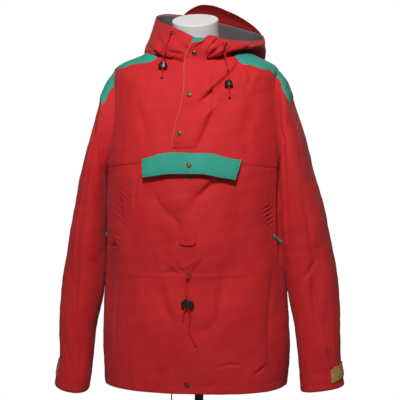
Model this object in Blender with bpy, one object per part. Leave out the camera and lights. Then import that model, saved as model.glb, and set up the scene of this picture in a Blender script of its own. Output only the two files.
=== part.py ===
"""Hooded anorak pullover worn by a limbless torso form on a round stand.

Metres, +Z up. The front faces -Y and the wearer's left side is at +X.
The origin is the middle of the stand's underside. Heights in the tables are counted from the hem.
"""

from functools import partial
from types import SimpleNamespace

import bpy
import numpy as np
from mathutils import Matrix, Vector
from mathutils.bvhtree import BVHTree

HEM_HEIGHT = 0.095  # the hem above the floor
BODY_Y = -0.012  # the garment's middle, in front of the stand's pole
SHELL = 0.0016  # wall of the woven shell cloth
LINING = 0.0012  # wall of the knitted lining
SEAM_GAP = 0.0006  # between panels sewn edge to edge
LAY_GAP = 0.0012  # between a panel and a patch that lies on it
SEAM_LEVEL = 0.6855  # the chest seam, in the torso table's levels
WAIST_LEVEL = 0.36  # the drawcord channel
UNDERARM_LEVEL, SHOULDER_LEVEL = 0.665, 0.88  # lower and upper end of the armhole
ARMHOLE_ANGLE = np.radians(23)  # half the armhole's width, seen from the torso's axis
# Turns of a sleeve's columns from its outer edge to the underarm, at three of its rings.
ARMHOLE_TURNS = np.radians((0, 20, 40, 63, 87, 110, 133, 157, 180))
HEAD_TURNS = np.radians((0, 13, 26, 50, 76, 102, 128, 154, 180))
SLEEVE_TURNS = np.radians((0, 28, 55, 72, 92, 113, 135, 157, 180))
HEAD_RING, STRAIGHT_RING = 1.5, 4.0  # where the sleeve's head ends, and where its columns run straight
FRONT_COLUMNS, BACK_COLUMNS = 16, 12
SLIT_HALF_ANGLE = np.radians(0.8)  # the neck slit under the placket
SLIT_BOTTOM_LEVEL = 0.725
SLEEVE_SEAM_COLUMN = 2  # the sleeve's long seam, in front of its outer edge, and the edge of its head


class Table:
    """Rows of named columns, read at any value of the first column along a smooth curve."""

    def __init__(self, columns, rows):
        self.names = columns.split()
        self.values = np.array(rows, float)

    def at(self, where):
        keys = self.values[:, 0]
        read = {n: curve(keys, self.values[:, i], where) for i, n in enumerate(self.names)}
        return SimpleNamespace(**read)


def curve(keys, values, where):
    """The cubic curve through values at the rising keys. Values may be numbers or whole rings of points."""
    slopes = np.gradient(values, keys, axis=0)
    where = np.asarray(where, float)
    i = np.clip(np.searchsorted(keys, where) - 1, 0, len(keys) - 2)
    step = keys[i + 1] - keys[i]
    u = (where - keys[i]) / step
    if values.ndim > 1:
        step, u = step[..., None], u[..., None]
    start = (1 + 2 * u) * (1 - u) ** 2 * values[i] + u * (1 - u) ** 2 * step * slopes[i]
    return start + u**2 * (3 - 2 * u) * values[i + 1] + u**2 * (u - 1) * step * slopes[i + 1]


# Each row is a closed ring of the body, from the hem up to the neckline.
TORSO = Table(
    "level side_z front_z back_z half_width front_depth back_depth squareness",
    (
        (0.00, 0.006, 0.0055, 0.000, 0.2060, 0.139, 0.136, 2.30),
        (0.10, 0.070, 0.066, 0.066, 0.2105, 0.143, 0.142, 2.30),
        (0.25, 0.176, 0.175, 0.175, 0.2080, 0.145, 0.141, 2.30),
        (0.36, 0.252, 0.254, 0.254, 0.2040, 0.140, 0.134, 2.30),
        (0.48, 0.334, 0.343, 0.343, 0.2025, 0.147, 0.135, 2.35),
        (0.60, 0.420, 0.432, 0.433, 0.2025, 0.150, 0.137, 2.40),
        (0.665, 0.470, 0.496, 0.496, 0.2020, 0.149, 0.137, 2.40),
        (0.72, 0.525, 0.535, 0.541, 0.2010, 0.145, 0.136, 2.40),
        (0.78, 0.591, 0.574, 0.585, 0.1975, 0.138, 0.132, 2.30),
        (0.84, 0.663, 0.615, 0.632, 0.1905, 0.127, 0.124, 2.20),
        (0.88, 0.706, 0.642, 0.664, 0.1825, 0.119, 0.116, 2.10),
        (0.92, 0.725, 0.668, 0.694, 0.1550, 0.110, 0.105, 2.05),
        (0.96, 0.742, 0.696, 0.724, 0.1150, 0.100, 0.090, 2.00),
        (1.00, 0.758, 0.721, 0.753, 0.0760, 0.088, 0.076, 2.00),
    ),
)

# Each row is a ring of a sleeve below the armhole: its outer and inner edge in X and Z, its middle in Y
# and depth, and how much lower its front is than its back.
SLEEVE_COLUMNS = "ring outer_x outer_z inner_x inner_z centre_y half_depth front_drop"
LEFT_SLEEVE = Table(
    SLEEVE_COLUMNS,
    (
        (1, 0.2055, 0.676, 0.2050, 0.458, -0.013, 0.084, 0.0),
        (2, 0.2230, 0.624, 0.2050, 0.452, -0.011, 0.090, 0.0),
        (3, 0.2430, 0.560, 0.2035, 0.440, -0.008, 0.093, 0.0),
        (4, 0.2620, 0.490, 0.2030, 0.410, -0.005, 0.092, 0.0),
        (5, 0.2850, 0.410, 0.2030, 0.360, -0.003, 0.087, 0.0),
        (6, 0.3050, 0.320, 0.2045, 0.290, -0.004, 0.079, 0.0),
        (7, 0.3180, 0.235, 0.2095, 0.215, -0.010, 0.070, 0.0),
        (8, 0.3250, 0.150, 0.2255, 0.135, -0.018, 0.061, 0.0),
        (9, 0.3280, 0.074, 0.2335, 0.062, -0.025, 0.053, 0.0),
        (10, 0.3300, 0.046, 0.2360, 0.033, -0.028, 0.049, 0.0),
        (11, 0.3350, 0.012, 0.2375, -0.003, -0.030, 0.048, 0.0),
    ),
)
RIGHT_SLEEVE = Table(
    SLEEVE_COLUMNS,
    (
        (1, 0.2045, 0.676, 0.2050, 0.458, -0.013, 0.084, 0.0),
        (2, 0.2185, 0.622, 0.2050, 0.452, -0.011, 0.090, 0.0),
        (3, 0.2370, 0.560, 0.2045, 0.440, -0.008, 0.093, 0.0),
        (4, 0.2560, 0.490, 0.2040, 0.410, -0.005, 0.092, 0.0),
        (5, 0.2715, 0.410, 0.2040, 0.360, -0.003, 0.087, 0.0),
        (6, 0.2910, 0.320, 0.2055, 0.290, -0.004, 0.079, 0.0),
        (7, 0.3050, 0.235, 0.2090, 0.215, -0.010, 0.070, 0.0),
        (8, 0.3085, 0.150, 0.2220, 0.135, -0.018, 0.061, 0.002),
        (9, 0.3090, 0.070, 0.2330, 0.055, -0.025, 0.053, 0.004),
        (10, 0.3140, 0.040, 0.2370, 0.020, -0.028, 0.049, 0.006),
        (11, 0.3225, 0.001, 0.2425, -0.014, -0.030, 0.047, 0.008),
    ),
)
SLEEVE_SQUARENESS = 2.3

# Each row is a stretch round the laid-back hood, from the left front round the back to the right front:
# the angle of its seam on the neckline, the bottom of its roll, its widest place and its open rim.
HOOD = Table(
    "turn seam_angle fold_x fold_y fold_z belly_x belly_y belly_z rim_x rim_y rim_z",
    (
        (0, -84, 0.017, -0.101, 0.734, 0.024, -0.103, 0.752, 0.033, -0.092, 0.776),
        (1, -65, 0.060, -0.102, 0.737, 0.067, -0.103, 0.751, 0.073, -0.080, 0.771),
        (2, -40, 0.102, -0.068, 0.748, 0.113, -0.060, 0.757, 0.110, -0.034, 0.770),
        (3, -10, 0.130, -0.008, 0.752, 0.142, -0.002, 0.762, 0.137, 0.026, 0.775),
        (4, 20, 0.139, 0.062, 0.742, 0.149, 0.072, 0.761, 0.144, 0.080, 0.784),
        (5, 50, 0.113, 0.130, 0.692, 0.135, 0.142, 0.738, 0.129, 0.118, 0.797),
        (6, 75, 0.060, 0.162, 0.650, 0.078, 0.190, 0.708, 0.083, 0.150, 0.812),
        (7, 95, 0.000, 0.170, 0.640, 0.000, 0.202, 0.704, 0.018, 0.165, 0.829),
        (8, 115, -0.058, 0.158, 0.650, -0.072, 0.182, 0.714, -0.050, 0.147, 0.842),
        (9, 145, -0.098, 0.116, 0.703, -0.110, 0.118, 0.752, -0.088, 0.098, 0.841),
        (10, 170, -0.112, 0.048, 0.754, -0.116, 0.050, 0.775, -0.101, 0.047, 0.831),
        (11, 195, -0.101, -0.014, 0.756, -0.111, -0.004, 0.772, -0.084, -0.004, 0.818),
        (12, 220, -0.075, -0.068, 0.746, -0.080, -0.066, 0.762, -0.056, -0.046, 0.805),
        (13, 245, -0.040, -0.099, 0.738, -0.039, -0.099, 0.755, -0.021, -0.079, 0.790),
        (14, 266, -0.003, -0.101, 0.735, 0.000, -0.101, 0.750, 0.006, -0.090, 0.776),
    ),
)
HOOD_PANELS = {"hood_left": (0, 6.4), "hood_centre": (6.4, 7.6), "hood_right": (7.6, 14)}
HOOD_STEP = 0.4  # of a turn between the hood's columns
FACING_COLUMNS = 3  # of points, in the facing inside the right front edge
HOOD_KEYS = (0.0, 0.38, 0.64, 1.0)  # where the seam, the fold, the belly and the rim are across the hood
HOOD_RINGS = 9

# The stiff peak of the hood: how far it stands up from the rim at each turn of the hood's table.
PEAK = Table(
    "turn height",
    (
        (4.8, 0.003), (5.2, 0.013), (6.0, 0.030), (6.5, 0.037), (7.0, 0.042),
        (7.4, 0.036), (7.7, 0.022), (8.0, 0.004),
    ),
)
PEAK_UP, PEAK_WALL = np.array((0.0, 0.22, 0.975)), 0.0030

# The largest folds on the front, as troughs (depth below 0) and ridges, each on a straight line in X and Z.
FRONT_FOLDS = Table(
    "start_x start_z end_x end_z half_width depth",
    (
        (0.088, 0.722, 0.038, 0.655, 0.016, -0.0070),
        (0.096, 0.690, 0.060, 0.640, 0.018, 0.0030),
        (0.055, 0.610, 0.024, 0.535, 0.016, -0.0035),
        (0.060, 0.462, 0.008, 0.378, 0.019, -0.0060),
        (-0.055, 0.390, -0.018, 0.352, 0.017, -0.0040),
        (-0.010, 0.440, -0.012, 0.390, 0.024, 0.0040),
        (-0.062, 0.235, -0.036, 0.150, 0.017, -0.0040),
        (0.082, 0.300, 0.072, 0.190, 0.020, -0.0035),
        (0.070, 0.052, 0.115, 0.056, 0.015, -0.0035),
        (0.140, 0.028, 0.180, 0.060, 0.015, -0.0035),
        (0.172, 0.150, 0.170, 0.050, 0.020, -0.0050),
        (-0.176, 0.330, -0.180, 0.150, 0.020, -0.0050),
        (-0.145, 0.440, -0.160, 0.360, 0.020, -0.0035),
        (0.276, 0.330, 0.268, 0.190, 0.017, -0.0060),
        (0.282, 0.180, 0.302, 0.105, 0.017, -0.0060),
        (0.248, 0.560, 0.272, 0.380, 0.016, -0.0040),
        (-0.225, 0.560, -0.262, 0.330, 0.016, -0.0045),
        (-0.276, 0.300, -0.280, 0.170, 0.018, -0.0060),
        (-0.250, 0.150, -0.262, 0.020, 0.016, -0.0040),
    ),
)
BACK_FOLDS = Table(
    "start_x start_z end_x end_z half_width depth",
    (
        (0.000, 0.600, 0.000, 0.060, 0.040, -0.0040),
        (-0.060, 0.560, -0.150, 0.380, 0.022, -0.0060),
        (0.060, 0.560, 0.150, 0.400, 0.022, -0.0060),
        (-0.085, 0.235, -0.095, 0.060, 0.022, -0.0055),
        (0.090, 0.240, 0.085, 0.040, 0.022, -0.0055),
        (0.150, 0.200, 0.145, 0.080, 0.018, 0.0045),
        (0.235, 0.540, 0.275, 0.330, 0.018, -0.0060),
        (-0.232, 0.540, -0.268, 0.330, 0.018, -0.0060),
        (0.290, 0.250, 0.280, 0.100, 0.017, -0.0055),
        (-0.285, 0.250, -0.272, 0.110, 0.017, -0.0055),
    ),
)

# The chest pocket's flap: its upper and lower edge, the lower one a little shorter.
FLAP = Table(
    "share top_x top_z bottom_x bottom_z",
    (
        (0.00, -0.0964, 0.5125, -0.0889, 0.4735),
        (0.09, -0.0786, 0.5175, -0.0740, 0.4760),
        (0.22, -0.0499, 0.5255, -0.0480, 0.4800),
        (0.50, 0.0130, 0.5265, 0.0110, 0.4820),
        (0.70, 0.0557, 0.5250, 0.0480, 0.4800),
        (0.86, 0.0893, 0.5160, 0.0790, 0.4740),
        (1.00, 0.1165, 0.5115, 0.1024, 0.4690),
    ),
)
FLAP_COLUMNS, FLAP_ROWS = 14, 3
FLAP_LIFT_TOP, FLAP_LIFT_BOTTOM = 0.0036, 0.0100

# The placket: its free edge and its sewn edge, and how far the free edge stands off.
PLACKET = Table(
    "height free_x sewn_x lift",
    (
        (0.536, -0.0300, 0.022, 0.0004),
        (0.545, -0.0295, 0.025, 0.0006),
        (0.586, -0.0235, 0.040, 0.0010),
        (0.618, -0.0156, 0.050, 0.0014),
        (0.650, -0.0099, 0.052, 0.0018),
        (0.682, -0.0087, 0.050, 0.0022),
        (0.714, -0.0109, 0.044, 0.0030),
        (0.731, -0.0092, 0.037, 0.0040),
        (0.744, -0.0002, 0.036, 0.0050),
        (0.755, 0.0093, 0.038, 0.0055),
        (0.763, 0.0198, 0.042, 0.0055),
    ),
)
PLACKET_COLUMNS, PLACKET_ROWS = 4, 17
PLACKET_SNAPS = ((-0.0148, 0.5685), (0.0041, 0.6517), (0.0107, 0.7405))  # X and Z

POCKET_COLUMNS = (4, 12)  # the pouch covers these of the front's columns, from the right side to the left

PATCH_X, PATCH_Z, PATCH_WIDTH, PATCH_HEIGHT = 0.0044, 0.3490, 0.037, 0.040
FLAP_SNAP, FLAP_STUD, HEM_SNAP = (0.0084, 0.5013), (0.0098, 0.4745), (0.0007, 0.0264)
TRIM_GAP = 0.0006  # under a trim that lies flat on the cloth
SNAP_PROFILE = ((0, 0), (0.0052, 0), (0.0056, 0.0006), (0.0050, 0.0018), (0.0028, 0.0026), (0, 0.0028))
STUD_PROFILE = ((0, 0), (0.0050, 0), (0.0046, 0.0008), (0.0022, 0.0011), (0.0020, 0.0020), (0, 0.0022))
EYELET_RADIUS, EYELET_WIRE = 0.0042, 0.0010
HOOD_EYELETS = {"left": (0.0761, 0.7594), "right": (-0.0450, 0.7856)}
WAIST_EYELET = (0.0055, 0.2642)
CORD_RADIUS = 0.0014
CORD_SPACING = 0.008  # between the points that a cord's tube is made of
KNOT = (1.0, 1.7, 2.1, 2.0, 1.2)  # how the cord's radius swells at a knotted end

# Each cord's own route: X, height, how far its middle is in front of the cloth.
CORDS = {
    "hood_cord_left": (
        (0.0768, 0.7616, 0.0080), (0.0753, 0.7535, 0.0130), (0.0741, 0.7470, 0.0064),
        (0.0760, 0.7430, 0.0056), (0.0790, 0.7300, 0.0318), (0.0825, 0.7180, 0.0220),
        (0.0843, 0.7050, 0.0120), (0.0842, 0.6930, 0.0067), (0.0853, 0.6830, 0.0078),
        (0.0888, 0.6655, 0.0082), (0.0892, 0.6540, 0.0056), (0.0893, 0.6440, 0.0048),
    ),
    "hood_cord_right": (
        (-0.0458, 0.7878, 0.0080), (-0.0462, 0.7798, 0.0130), (-0.0478, 0.7730, 0.0064),
        (-0.0519, 0.7592, 0.0046), (-0.0540, 0.7470, 0.0052), (-0.0552, 0.7360, 0.0240),
        (-0.0566, 0.7240, 0.0165), (-0.0588, 0.7050, 0.0074), (-0.0588, 0.6960, 0.0050),
        (-0.0586, 0.6870, 0.0050),
    ),
    "waist_cord_short": (
        (0.0040, 0.2642, 0.0026), (0.0034, 0.2598, 0.0050), (0.0004, 0.2548, 0.0034),
        (-0.0014, 0.2400, 0.0028), (-0.0004, 0.2250, 0.0040), (0.0042, 0.2130, 0.0074),
        (0.0008, 0.1960, 0.0074), (-0.0024, 0.1900, 0.0052), (-0.0054, 0.1830, 0.0032),
        (-0.0063, 0.1663, 0.0028),
    ),
    "waist_cord_long": (
        (0.0071, 0.2642, 0.0026), (0.0070, 0.2598, 0.0050), (0.0054, 0.2548, 0.0034),
        (0.0046, 0.2400, 0.0028), (0.0054, 0.2250, 0.0040), (0.0076, 0.2130, 0.0074),
        (0.0042, 0.1960, 0.0074), (0.0066, 0.1890, 0.0050), (0.0093, 0.1820, 0.0032),
        (0.0087, 0.1731, 0.0028), (0.0066, 0.1450, 0.0028), (0.0130, 0.1300, 0.0028),
        (0.0227, 0.1129, 0.0028),
    ),
}
KNOTTED = ("hood_cord_left", "hood_cord_right")
HEM_CORD = ((-0.0324, 0.010), (-0.0325, 0.000), (-0.0322, -0.010), (-0.0330, -0.022))  # X, height
# Cord locks: the cords through each, the stretch of their routes inside it, and its width over its depth.
LOCKS = {
    "hood_lock_left": (("hood_cord_left",), 8, 1.9),
    "hood_lock_right": (("hood_cord_right",), 6, 2.1),
    "waist_lock": (("waist_cord_short", "waist_cord_long"), 5, 2.6),
}
LOCK_PROFILE = (
    (0.0021, -0.0080), (0.0029, -0.0080), (0.0031, -0.0055), (0.0044, -0.0038),
    (0.0052, 0.0000), (0.0050, 0.0045), (0.0036, 0.0065), (0.0021, 0.0065),
)

# The slanted side pocket's welt, from its front end round to the side.
WELT = Table("share angle level", ((0.0, -19.5, 0.493), (0.5, -11.5, 0.476), (1.0, -3.5, 0.462)))
WELT_WIDTH = 0.010  # in the torso table's levels

# The strap on the outside of each cuff, in the sleeve's columns and rings.
CUFF_TAB = Table(
    "column ring",
    ((-2.6, 10.22), (-2, 10.12), (-1, 10.02), (0, 9.95), (1, 10.0), (2, 10.1)),
)
CUFF_TAB_WIDTH = 0.66  # in rings

# The torso form inside: how far it stays inside the garment at each level of the torso's table.
FORM = Table(
    "level inset",
    (
        (0.14, 0.040), (0.25, 0.038), (0.36, 0.040), (0.48, 0.032),
        (0.60, 0.024), (0.72, 0.018), (0.84, 0.013), (1.00, 0.012),
    ),
)
FORM_RINGS, FORM_POINTS = 11, 24
NECK_RADIUS = 0.0515
NECK_FOOT, NECK_TOP = (0.0, -0.004, 0.770), (0.0, -0.022, 0.818)  # middles of its lower ring and flat top
NECK_TILT = np.radians(19)
POLE_PLACE = (0.004, 0.012)  # X and Y
POLE_RADIUS, COLLAR_RADIUS, COLLAR_TOP = 0.0078, 0.0100, 0.075
BASE_RADIUS, BASE_HEIGHT, BASE_BEVEL = 0.150, 0.011, 0.003
POLE_GAP = 0.0005  # between the pole and what it meets

RED, GREEN, GREY, TAN = "red_cloth", "green_cloth", "grey_knit", "tan_leather"
WHITE, BRASS, BLACK = "white_form", "brass", "black"
FINISHES = {
    RED: ((0.50, 0.022, 0.027), 0.62, 0.0),
    GREEN: ((0.045, 0.330, 0.235), 0.62, 0.0),
    GREY: ((0.105, 0.095, 0.100), 0.95, 0.0),
    TAN: ((0.340, 0.190, 0.055), 0.70, 0.0),
    WHITE: ((0.720, 0.700, 0.680), 0.35, 0.0),
    BRASS: ((0.330, 0.230, 0.110), 0.35, 1.0),
    BLACK: ((0.012, 0.010, 0.011), 0.40, 0.0),
}


# ---------------------------------------------------------------- scene


def clear_scene():
    for old in list(bpy.data.objects):
        bpy.data.objects.remove(old)


def new_collection(name):
    collection = bpy.data.collections.new(name)
    bpy.context.scene.collection.children.link(collection)
    return collection


def make_materials():
    materials = {}
    for name, (colour, roughness, metallic) in FINISHES.items():
        material = bpy.data.materials.new(name)
        material.use_nodes = True
        shader = material.node_tree.nodes["Principled BSDF"]
        shader.inputs["Base Color"].default_value = (*colour, 1)
        shader.inputs["Roughness"].default_value = roughness
        shader.inputs["Metallic"].default_value = metallic
        material.diffuse_color = (*colour, 1)
        materials[name] = material
    return materials


def link(obj, material, collection="anorak"):
    bpy.data.collections[collection].objects.link(obj)
    if material:
        obj.data.materials.append(bpy.data.materials[material])
    return obj


# ---------------------------------------------------------------- surfaces


def fold_shift(folds, x, z):
    """How far the folds raise a point that is seen at x and z above the hem. Folds fade out at both ends."""
    shift = np.zeros_like(x)
    for start_x, start_z, end_x, end_z, half_width, depth in folds.values:
        along = np.array((end_x - start_x, end_z - start_z))
        length = np.hypot(*along)
        share = ((x - start_x) * along[0] + (z - start_z) * along[1]) / length**2
        nearest = np.clip(share, 0, 1)
        away = np.hypot(x - start_x - nearest * along[0], z - start_z - nearest * along[1])
        fade = 0.35 + 0.65 * np.sin(np.pi * nearest)
        shift += depth * fade * np.exp(-((away / half_width) ** 2))
    return shift


def with_folds(points, normals):
    """The points moved along their normals by the folds of the side that they face."""
    x, z = points[..., 0], points[..., 2] - HEM_HEIGHT
    front = np.clip(-1.6 * normals[..., 1], 0, 1) * fold_shift(FRONT_FOLDS, x, z)
    back = np.clip(1.6 * normals[..., 1], 0, 1) * fold_shift(BACK_FOLDS, x, z)
    return points + normals * (front + back)[..., None]


def normals_of(surface, u, v, outwards):
    """Unit normals of surface(u, v) from its slopes. Outwards is 1 or -1."""
    small = 1e-3
    along_u = surface(u + small, v) - surface(u - small, v)
    along_v = surface(u, v + small) - surface(u, v - small)
    normals = outwards * np.cross(along_u, along_v)
    return normals / np.maximum(np.linalg.norm(normals, axis=-1, keepdims=True), 1e-12)


def torso(angle, level):
    """A point of the body's smooth surface. Angle 0 is the left side, -90 degrees the front."""
    row = TORSO.at(level)
    cosine, sine = np.cos(angle), np.sin(angle)
    depth = np.where(sine < 0, row.front_depth, row.back_depth)
    power = row.squareness
    radius = (np.abs(cosine / row.half_width) ** power + np.abs(sine / depth) ** power) ** (-1 / power)
    end_z = np.where(sine < 0, row.front_z, row.back_z)
    height = row.side_z + (end_z - row.side_z) * sine**2
    return np.stack((radius * cosine, BODY_Y + radius * sine, HEM_HEIGHT + height), axis=-1)


def torso_cloth(angle, level, lift=0.0):
    """The body's outer surface with its folds, raised by lift."""
    angle, level = np.broadcast_arrays(angle, level)
    points = torso(angle, level)
    normals = normals_of(torso, angle, level, 1)
    return with_folds(points, normals) + normals * lift


def armhole(turn):
    """The armhole's edge on the torso at +X. Turn 0 is its top, and a quarter turn is at the back."""
    level = (UNDERARM_LEVEL + SHOULDER_LEVEL) / 2 + (SHOULDER_LEVEL - UNDERARM_LEVEL) / 2 * np.cos(turn)
    return torso_cloth(ARMHOLE_ANGLE * np.sin(turn), level)


def sleeve_surface(rows, side):
    """A function (ring, turn) giving points of a sleeve. Ring 0 is the armhole. Side is 1 at +X, -1 at -X."""

    def ring_point(ring, turn):
        power = SLEEVE_SQUARENESS
        radius = (np.abs(np.cos(turn)) ** power + np.abs(np.sin(turn)) ** power) ** (-1 / power)
        across, deep = radius * np.cos(turn), radius * np.sin(turn)
        row = rows.at(ring)
        x = (row.outer_x + row.inner_x) / 2 + across * (row.outer_x - row.inner_x) / 2
        z = (row.outer_z + row.inner_z) / 2 + across * (row.outer_z - row.inner_z) / 2 + deep * row.front_drop
        return np.stack((side * x, row.centre_y + deep * row.half_depth, HEM_HEIGHT + z), axis=-1)

    def surface(ring, turn):
        ring, turn = np.broadcast_arrays(ring, turn)
        start = armhole(turn) if side > 0 else armhole(turn) * (-1, 1, 1)
        keys = np.stack([start] + [ring_point(i, turn) for i in rows.values[:, 0]])
        return np.moveaxis(curve_rings(keys, ring), 0, -1)

    return surface


def curve_rings(keys, ring):
    """Reads the stacked rings keys[n, ..., 3] at each point's own ring number."""
    slopes = np.gradient(keys, axis=0)
    i = np.clip(np.floor(ring).astype(int), 0, len(keys) - 2)
    u = ring - i
    pairs = [(values, at) for values in (keys, slopes) for at in (i, i + 1)]
    picked = [np.take_along_axis(values, at[None, ..., None], axis=0)[0] for values, at in pairs]
    first, second, slope_a, slope_b = (np.moveaxis(p, -1, 0) for p in picked)
    start = (1 + 2 * u) * (1 - u) ** 2 * first + u * (1 - u) ** 2 * slope_a
    return start + u**2 * (3 - 2 * u) * second + u**2 * (u - 1) * slope_b


def sleeve_cloth(surface, side, ring, turn, lift=0.0):
    ring, turn = np.broadcast_arrays(np.asarray(ring, float), turn)
    points = surface(ring, turn)
    normals = normals_of(surface, np.clip(ring, 0.02, None), turn, side)
    depth_of_fold = np.clip(ring, 0, 1)[..., None]
    folded = with_folds(points, normals)
    return points + (folded - points) * depth_of_fold + normals * lift


def hood(turn, across):
    """A point of the hood's outer surface: across is 0 at the neck seam and 1 at the rim."""
    row = HOOD.at(turn)
    seam = torso(np.radians(row.seam_angle), 1.0 + 0.0 * turn)
    seam[..., 2] += 1.5 * SEAM_GAP
    fold = np.stack((row.fold_x, row.fold_y, HEM_HEIGHT + row.fold_z), axis=-1)
    belly = np.stack((row.belly_x, row.belly_y, HEM_HEIGHT + row.belly_z), axis=-1)
    rim = np.stack((row.rim_x, row.rim_y, HEM_HEIGHT + row.rim_z), axis=-1)
    stacked = np.stack((seam, fold, belly, rim))
    ring = curve(np.array(HOOD_KEYS), np.arange(4.0), across)
    return np.moveaxis(curve_rings(stacked, ring), 0, -1)


def hood_cloth(turn, across, lift=0.0):
    turn, across = np.broadcast_arrays(np.asarray(turn, float), across)
    return hood(turn, across) + normals_of(hood, turn, np.clip(across, 0.01, 1), 1) * lift


# ---------------------------------------------------------------- cloth pieces


def pull_in(grid, edges):
    """Draws the named edges of a grid of points back by half a seam's gap."""
    grid = grid.copy()
    pairs = {"first_row": (0, 1), "last_row": (-1, -2)}
    for name, (edge, inner) in pairs.items():
        if name in edges:
            step = grid[inner] - grid[edge]
            grid[edge] += step / np.linalg.norm(step, axis=-1, keepdims=True) * SEAM_GAP / 2
    pairs = {"first_column": (0, 1), "last_column": (-1, -2)}
    for name, (edge, inner) in pairs.items():
        if name in edges:
            step = grid[:, inner] - grid[:, edge]
            grid[:, edge] += step / np.linalg.norm(step, axis=-1, keepdims=True) * SEAM_GAP / 2
    return grid


def cloth(name, grid_at, material, lift=0.0, wall=SHELL, edges=(), flip=False, left_out=()):
    """A panel with two sides and a rim all round. grid_at(lift) gives its points, raised from where it lies.

    Every cell is cut along the same diagonal, so that panels lying on each other stay clear.
    """
    outer, inner = (pull_in(grid_at(height), edges) for height in (lift, lift - wall))
    rows, columns = outer.shape[:2]
    faces = []
    for i in range(rows - 1):
        for j in range(columns - 1):
            if (i, j) not in left_out:
                a, b = i * columns + j, (i + 1) * columns + j
                faces += [(a, a + 1, b + 1), (a, b + 1, b)]
    if flip:
        faces = [face[::-1] for face in faces]
    sides = {side for face in faces for side in zip(face, face[1:] + face[:1])}
    count = rows * columns
    rim = [(b, a, a + count, b + count) for a, b in sorted(sides) if (b, a) not in sides]
    under = [tuple(i + count for i in reversed(face)) for face in faces]
    mesh = bpy.data.meshes.new(name)
    mesh.from_pydata(np.concatenate((outer, inner)).reshape(-1, 3).tolist(), [], faces + under + rim)
    return link(bpy.data.objects.new(name, mesh), material)


def body_levels():
    """Levels of the rows from the hem to the neckline. Beside the armhole they follow the sleeve."""
    middle, half = (UNDERARM_LEVEL + SHOULDER_LEVEL) / 2, (SHOULDER_LEVEL - UNDERARM_LEVEL) / 2
    beside = middle + half * np.cos(ARMHOLE_TURNS[::-1])
    skirt = np.linspace(0, WAIST_LEVEL, 7)
    waist = np.linspace(WAIST_LEVEL, UNDERARM_LEVEL, 7)
    shoulder = np.linspace(SHOULDER_LEVEL, 1.0, 4)
    return np.concatenate((skirt, waist[1:-1], beside, shoulder[1:]))


def edge_angle(levels):
    """How far the armhole's edge is from the side line at each level, as an angle."""
    middle, half = (UNDERARM_LEVEL + SHOULDER_LEVEL) / 2, (SHOULDER_LEVEL - UNDERARM_LEVEL) / 2
    return ARMHOLE_ANGLE * np.sqrt(np.clip(1 - ((levels - middle) / half) ** 2, 0, None))


def body_grid(levels, shares, sign, lift=0.0):
    """Points of the front (sign -1) or the back (sign 1): a row for each level, from left to right."""
    edge = edge_angle(levels)[:, None]
    angles = sign * (edge + (np.pi - 2 * edge) * shares[None, :])
    return torso_cloth(angles, levels[:, None], lift)


def make_front():
    levels = body_levels()
    shares = np.linspace(0, 1, FRONT_COLUMNS + 1)
    slit = SLIT_HALF_ANGLE / np.pi
    middle = FRONT_COLUMNS // 2
    yoke_shares = np.concatenate((shares[:middle], (0.5 - slit, 0.5 + slit), shares[middle + 1 :]))
    seam = int(np.argmin(np.abs(levels - SEAM_LEVEL)))
    sides = ("first_column", "last_column")
    below = partial(body_grid, levels[: seam + 1], shares, -1)
    cloth("front_lower", below, RED, edges=("last_row", *sides), flip=True)
    above = partial(body_grid, levels[seam:], yoke_shares, -1)
    slit = {(i, middle) for i, level in enumerate(levels[seam:-1]) if level > SLIT_BOTTOM_LEVEL}
    cloth("front_yoke", above, RED, edges=("first_row", "last_row", *sides), flip=True, left_out=slit)
    return levels, shares, seam


def make_back(levels):
    shares = np.linspace(0, 1, BACK_COLUMNS + 1)
    whole = partial(body_grid, levels, shares, 1)
    cloth("back", whole, RED, edges=("last_row", "first_column", "last_column"))


def make_pouch(levels, shares, seam):
    """The chest pouch pocket lies on the lower front, from the drawcord channel up to the chest seam."""
    waist = int(np.argmin(np.abs(levels - WAIST_LEVEL)))
    first, last = POCKET_COLUMNS
    rows, columns = slice(waist, seam + 1), slice(first, last + 1)
    pouch = partial(body_grid, levels[rows], shares[columns], -1)
    cloth("pouch_pocket", pouch, RED, SEAM_GAP + SHELL, edges=("last_row",), flip=True)


def make_shoulder_panels(levels):
    """A strip on each shoulder, from the armhole to below the hood, across the shoulder seam."""
    top = levels[(levels > SHOULDER_LEVEL - 1e-6) & (levels < 1)]
    front_shares, back_shares = (np.arange(3) / n for n in (FRONT_COLUMNS, BACK_COLUMNS))

    def strip(lift, side=1):
        front, back = body_grid(top, front_shares, -1, lift), body_grid(top, back_shares, 1, lift)
        return np.concatenate((back[:, :0:-1], front), axis=1) * (side, 1, 1)

    lift = 1.6 * LAY_GAP + SHELL
    cloth("shoulder_panel_left", strip, GREEN, lift, edges=("first_row",), flip=True)
    cloth("shoulder_panel_right", partial(strip, side=-1), GREEN, lift, edges=("first_row",))


def sleeve_turns(rings, columns):
    """The turns of a sleeve's columns at each ring. Column 0 is its outer edge, the front's are below 0."""
    columns = np.asarray(columns, float)
    steps = np.arange(len(ARMHOLE_TURNS))
    known = [np.interp(np.abs(columns), steps, turns) for turns in (ARMHOLE_TURNS, HEAD_TURNS, SLEEVE_TURNS)]
    rings_known = (0, HEAD_RING, STRAIGHT_RING)
    read = [np.interp(rings, rings_known, column) for column in zip(*known)]
    return np.sign(columns) * np.stack(read, axis=-1)


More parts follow.
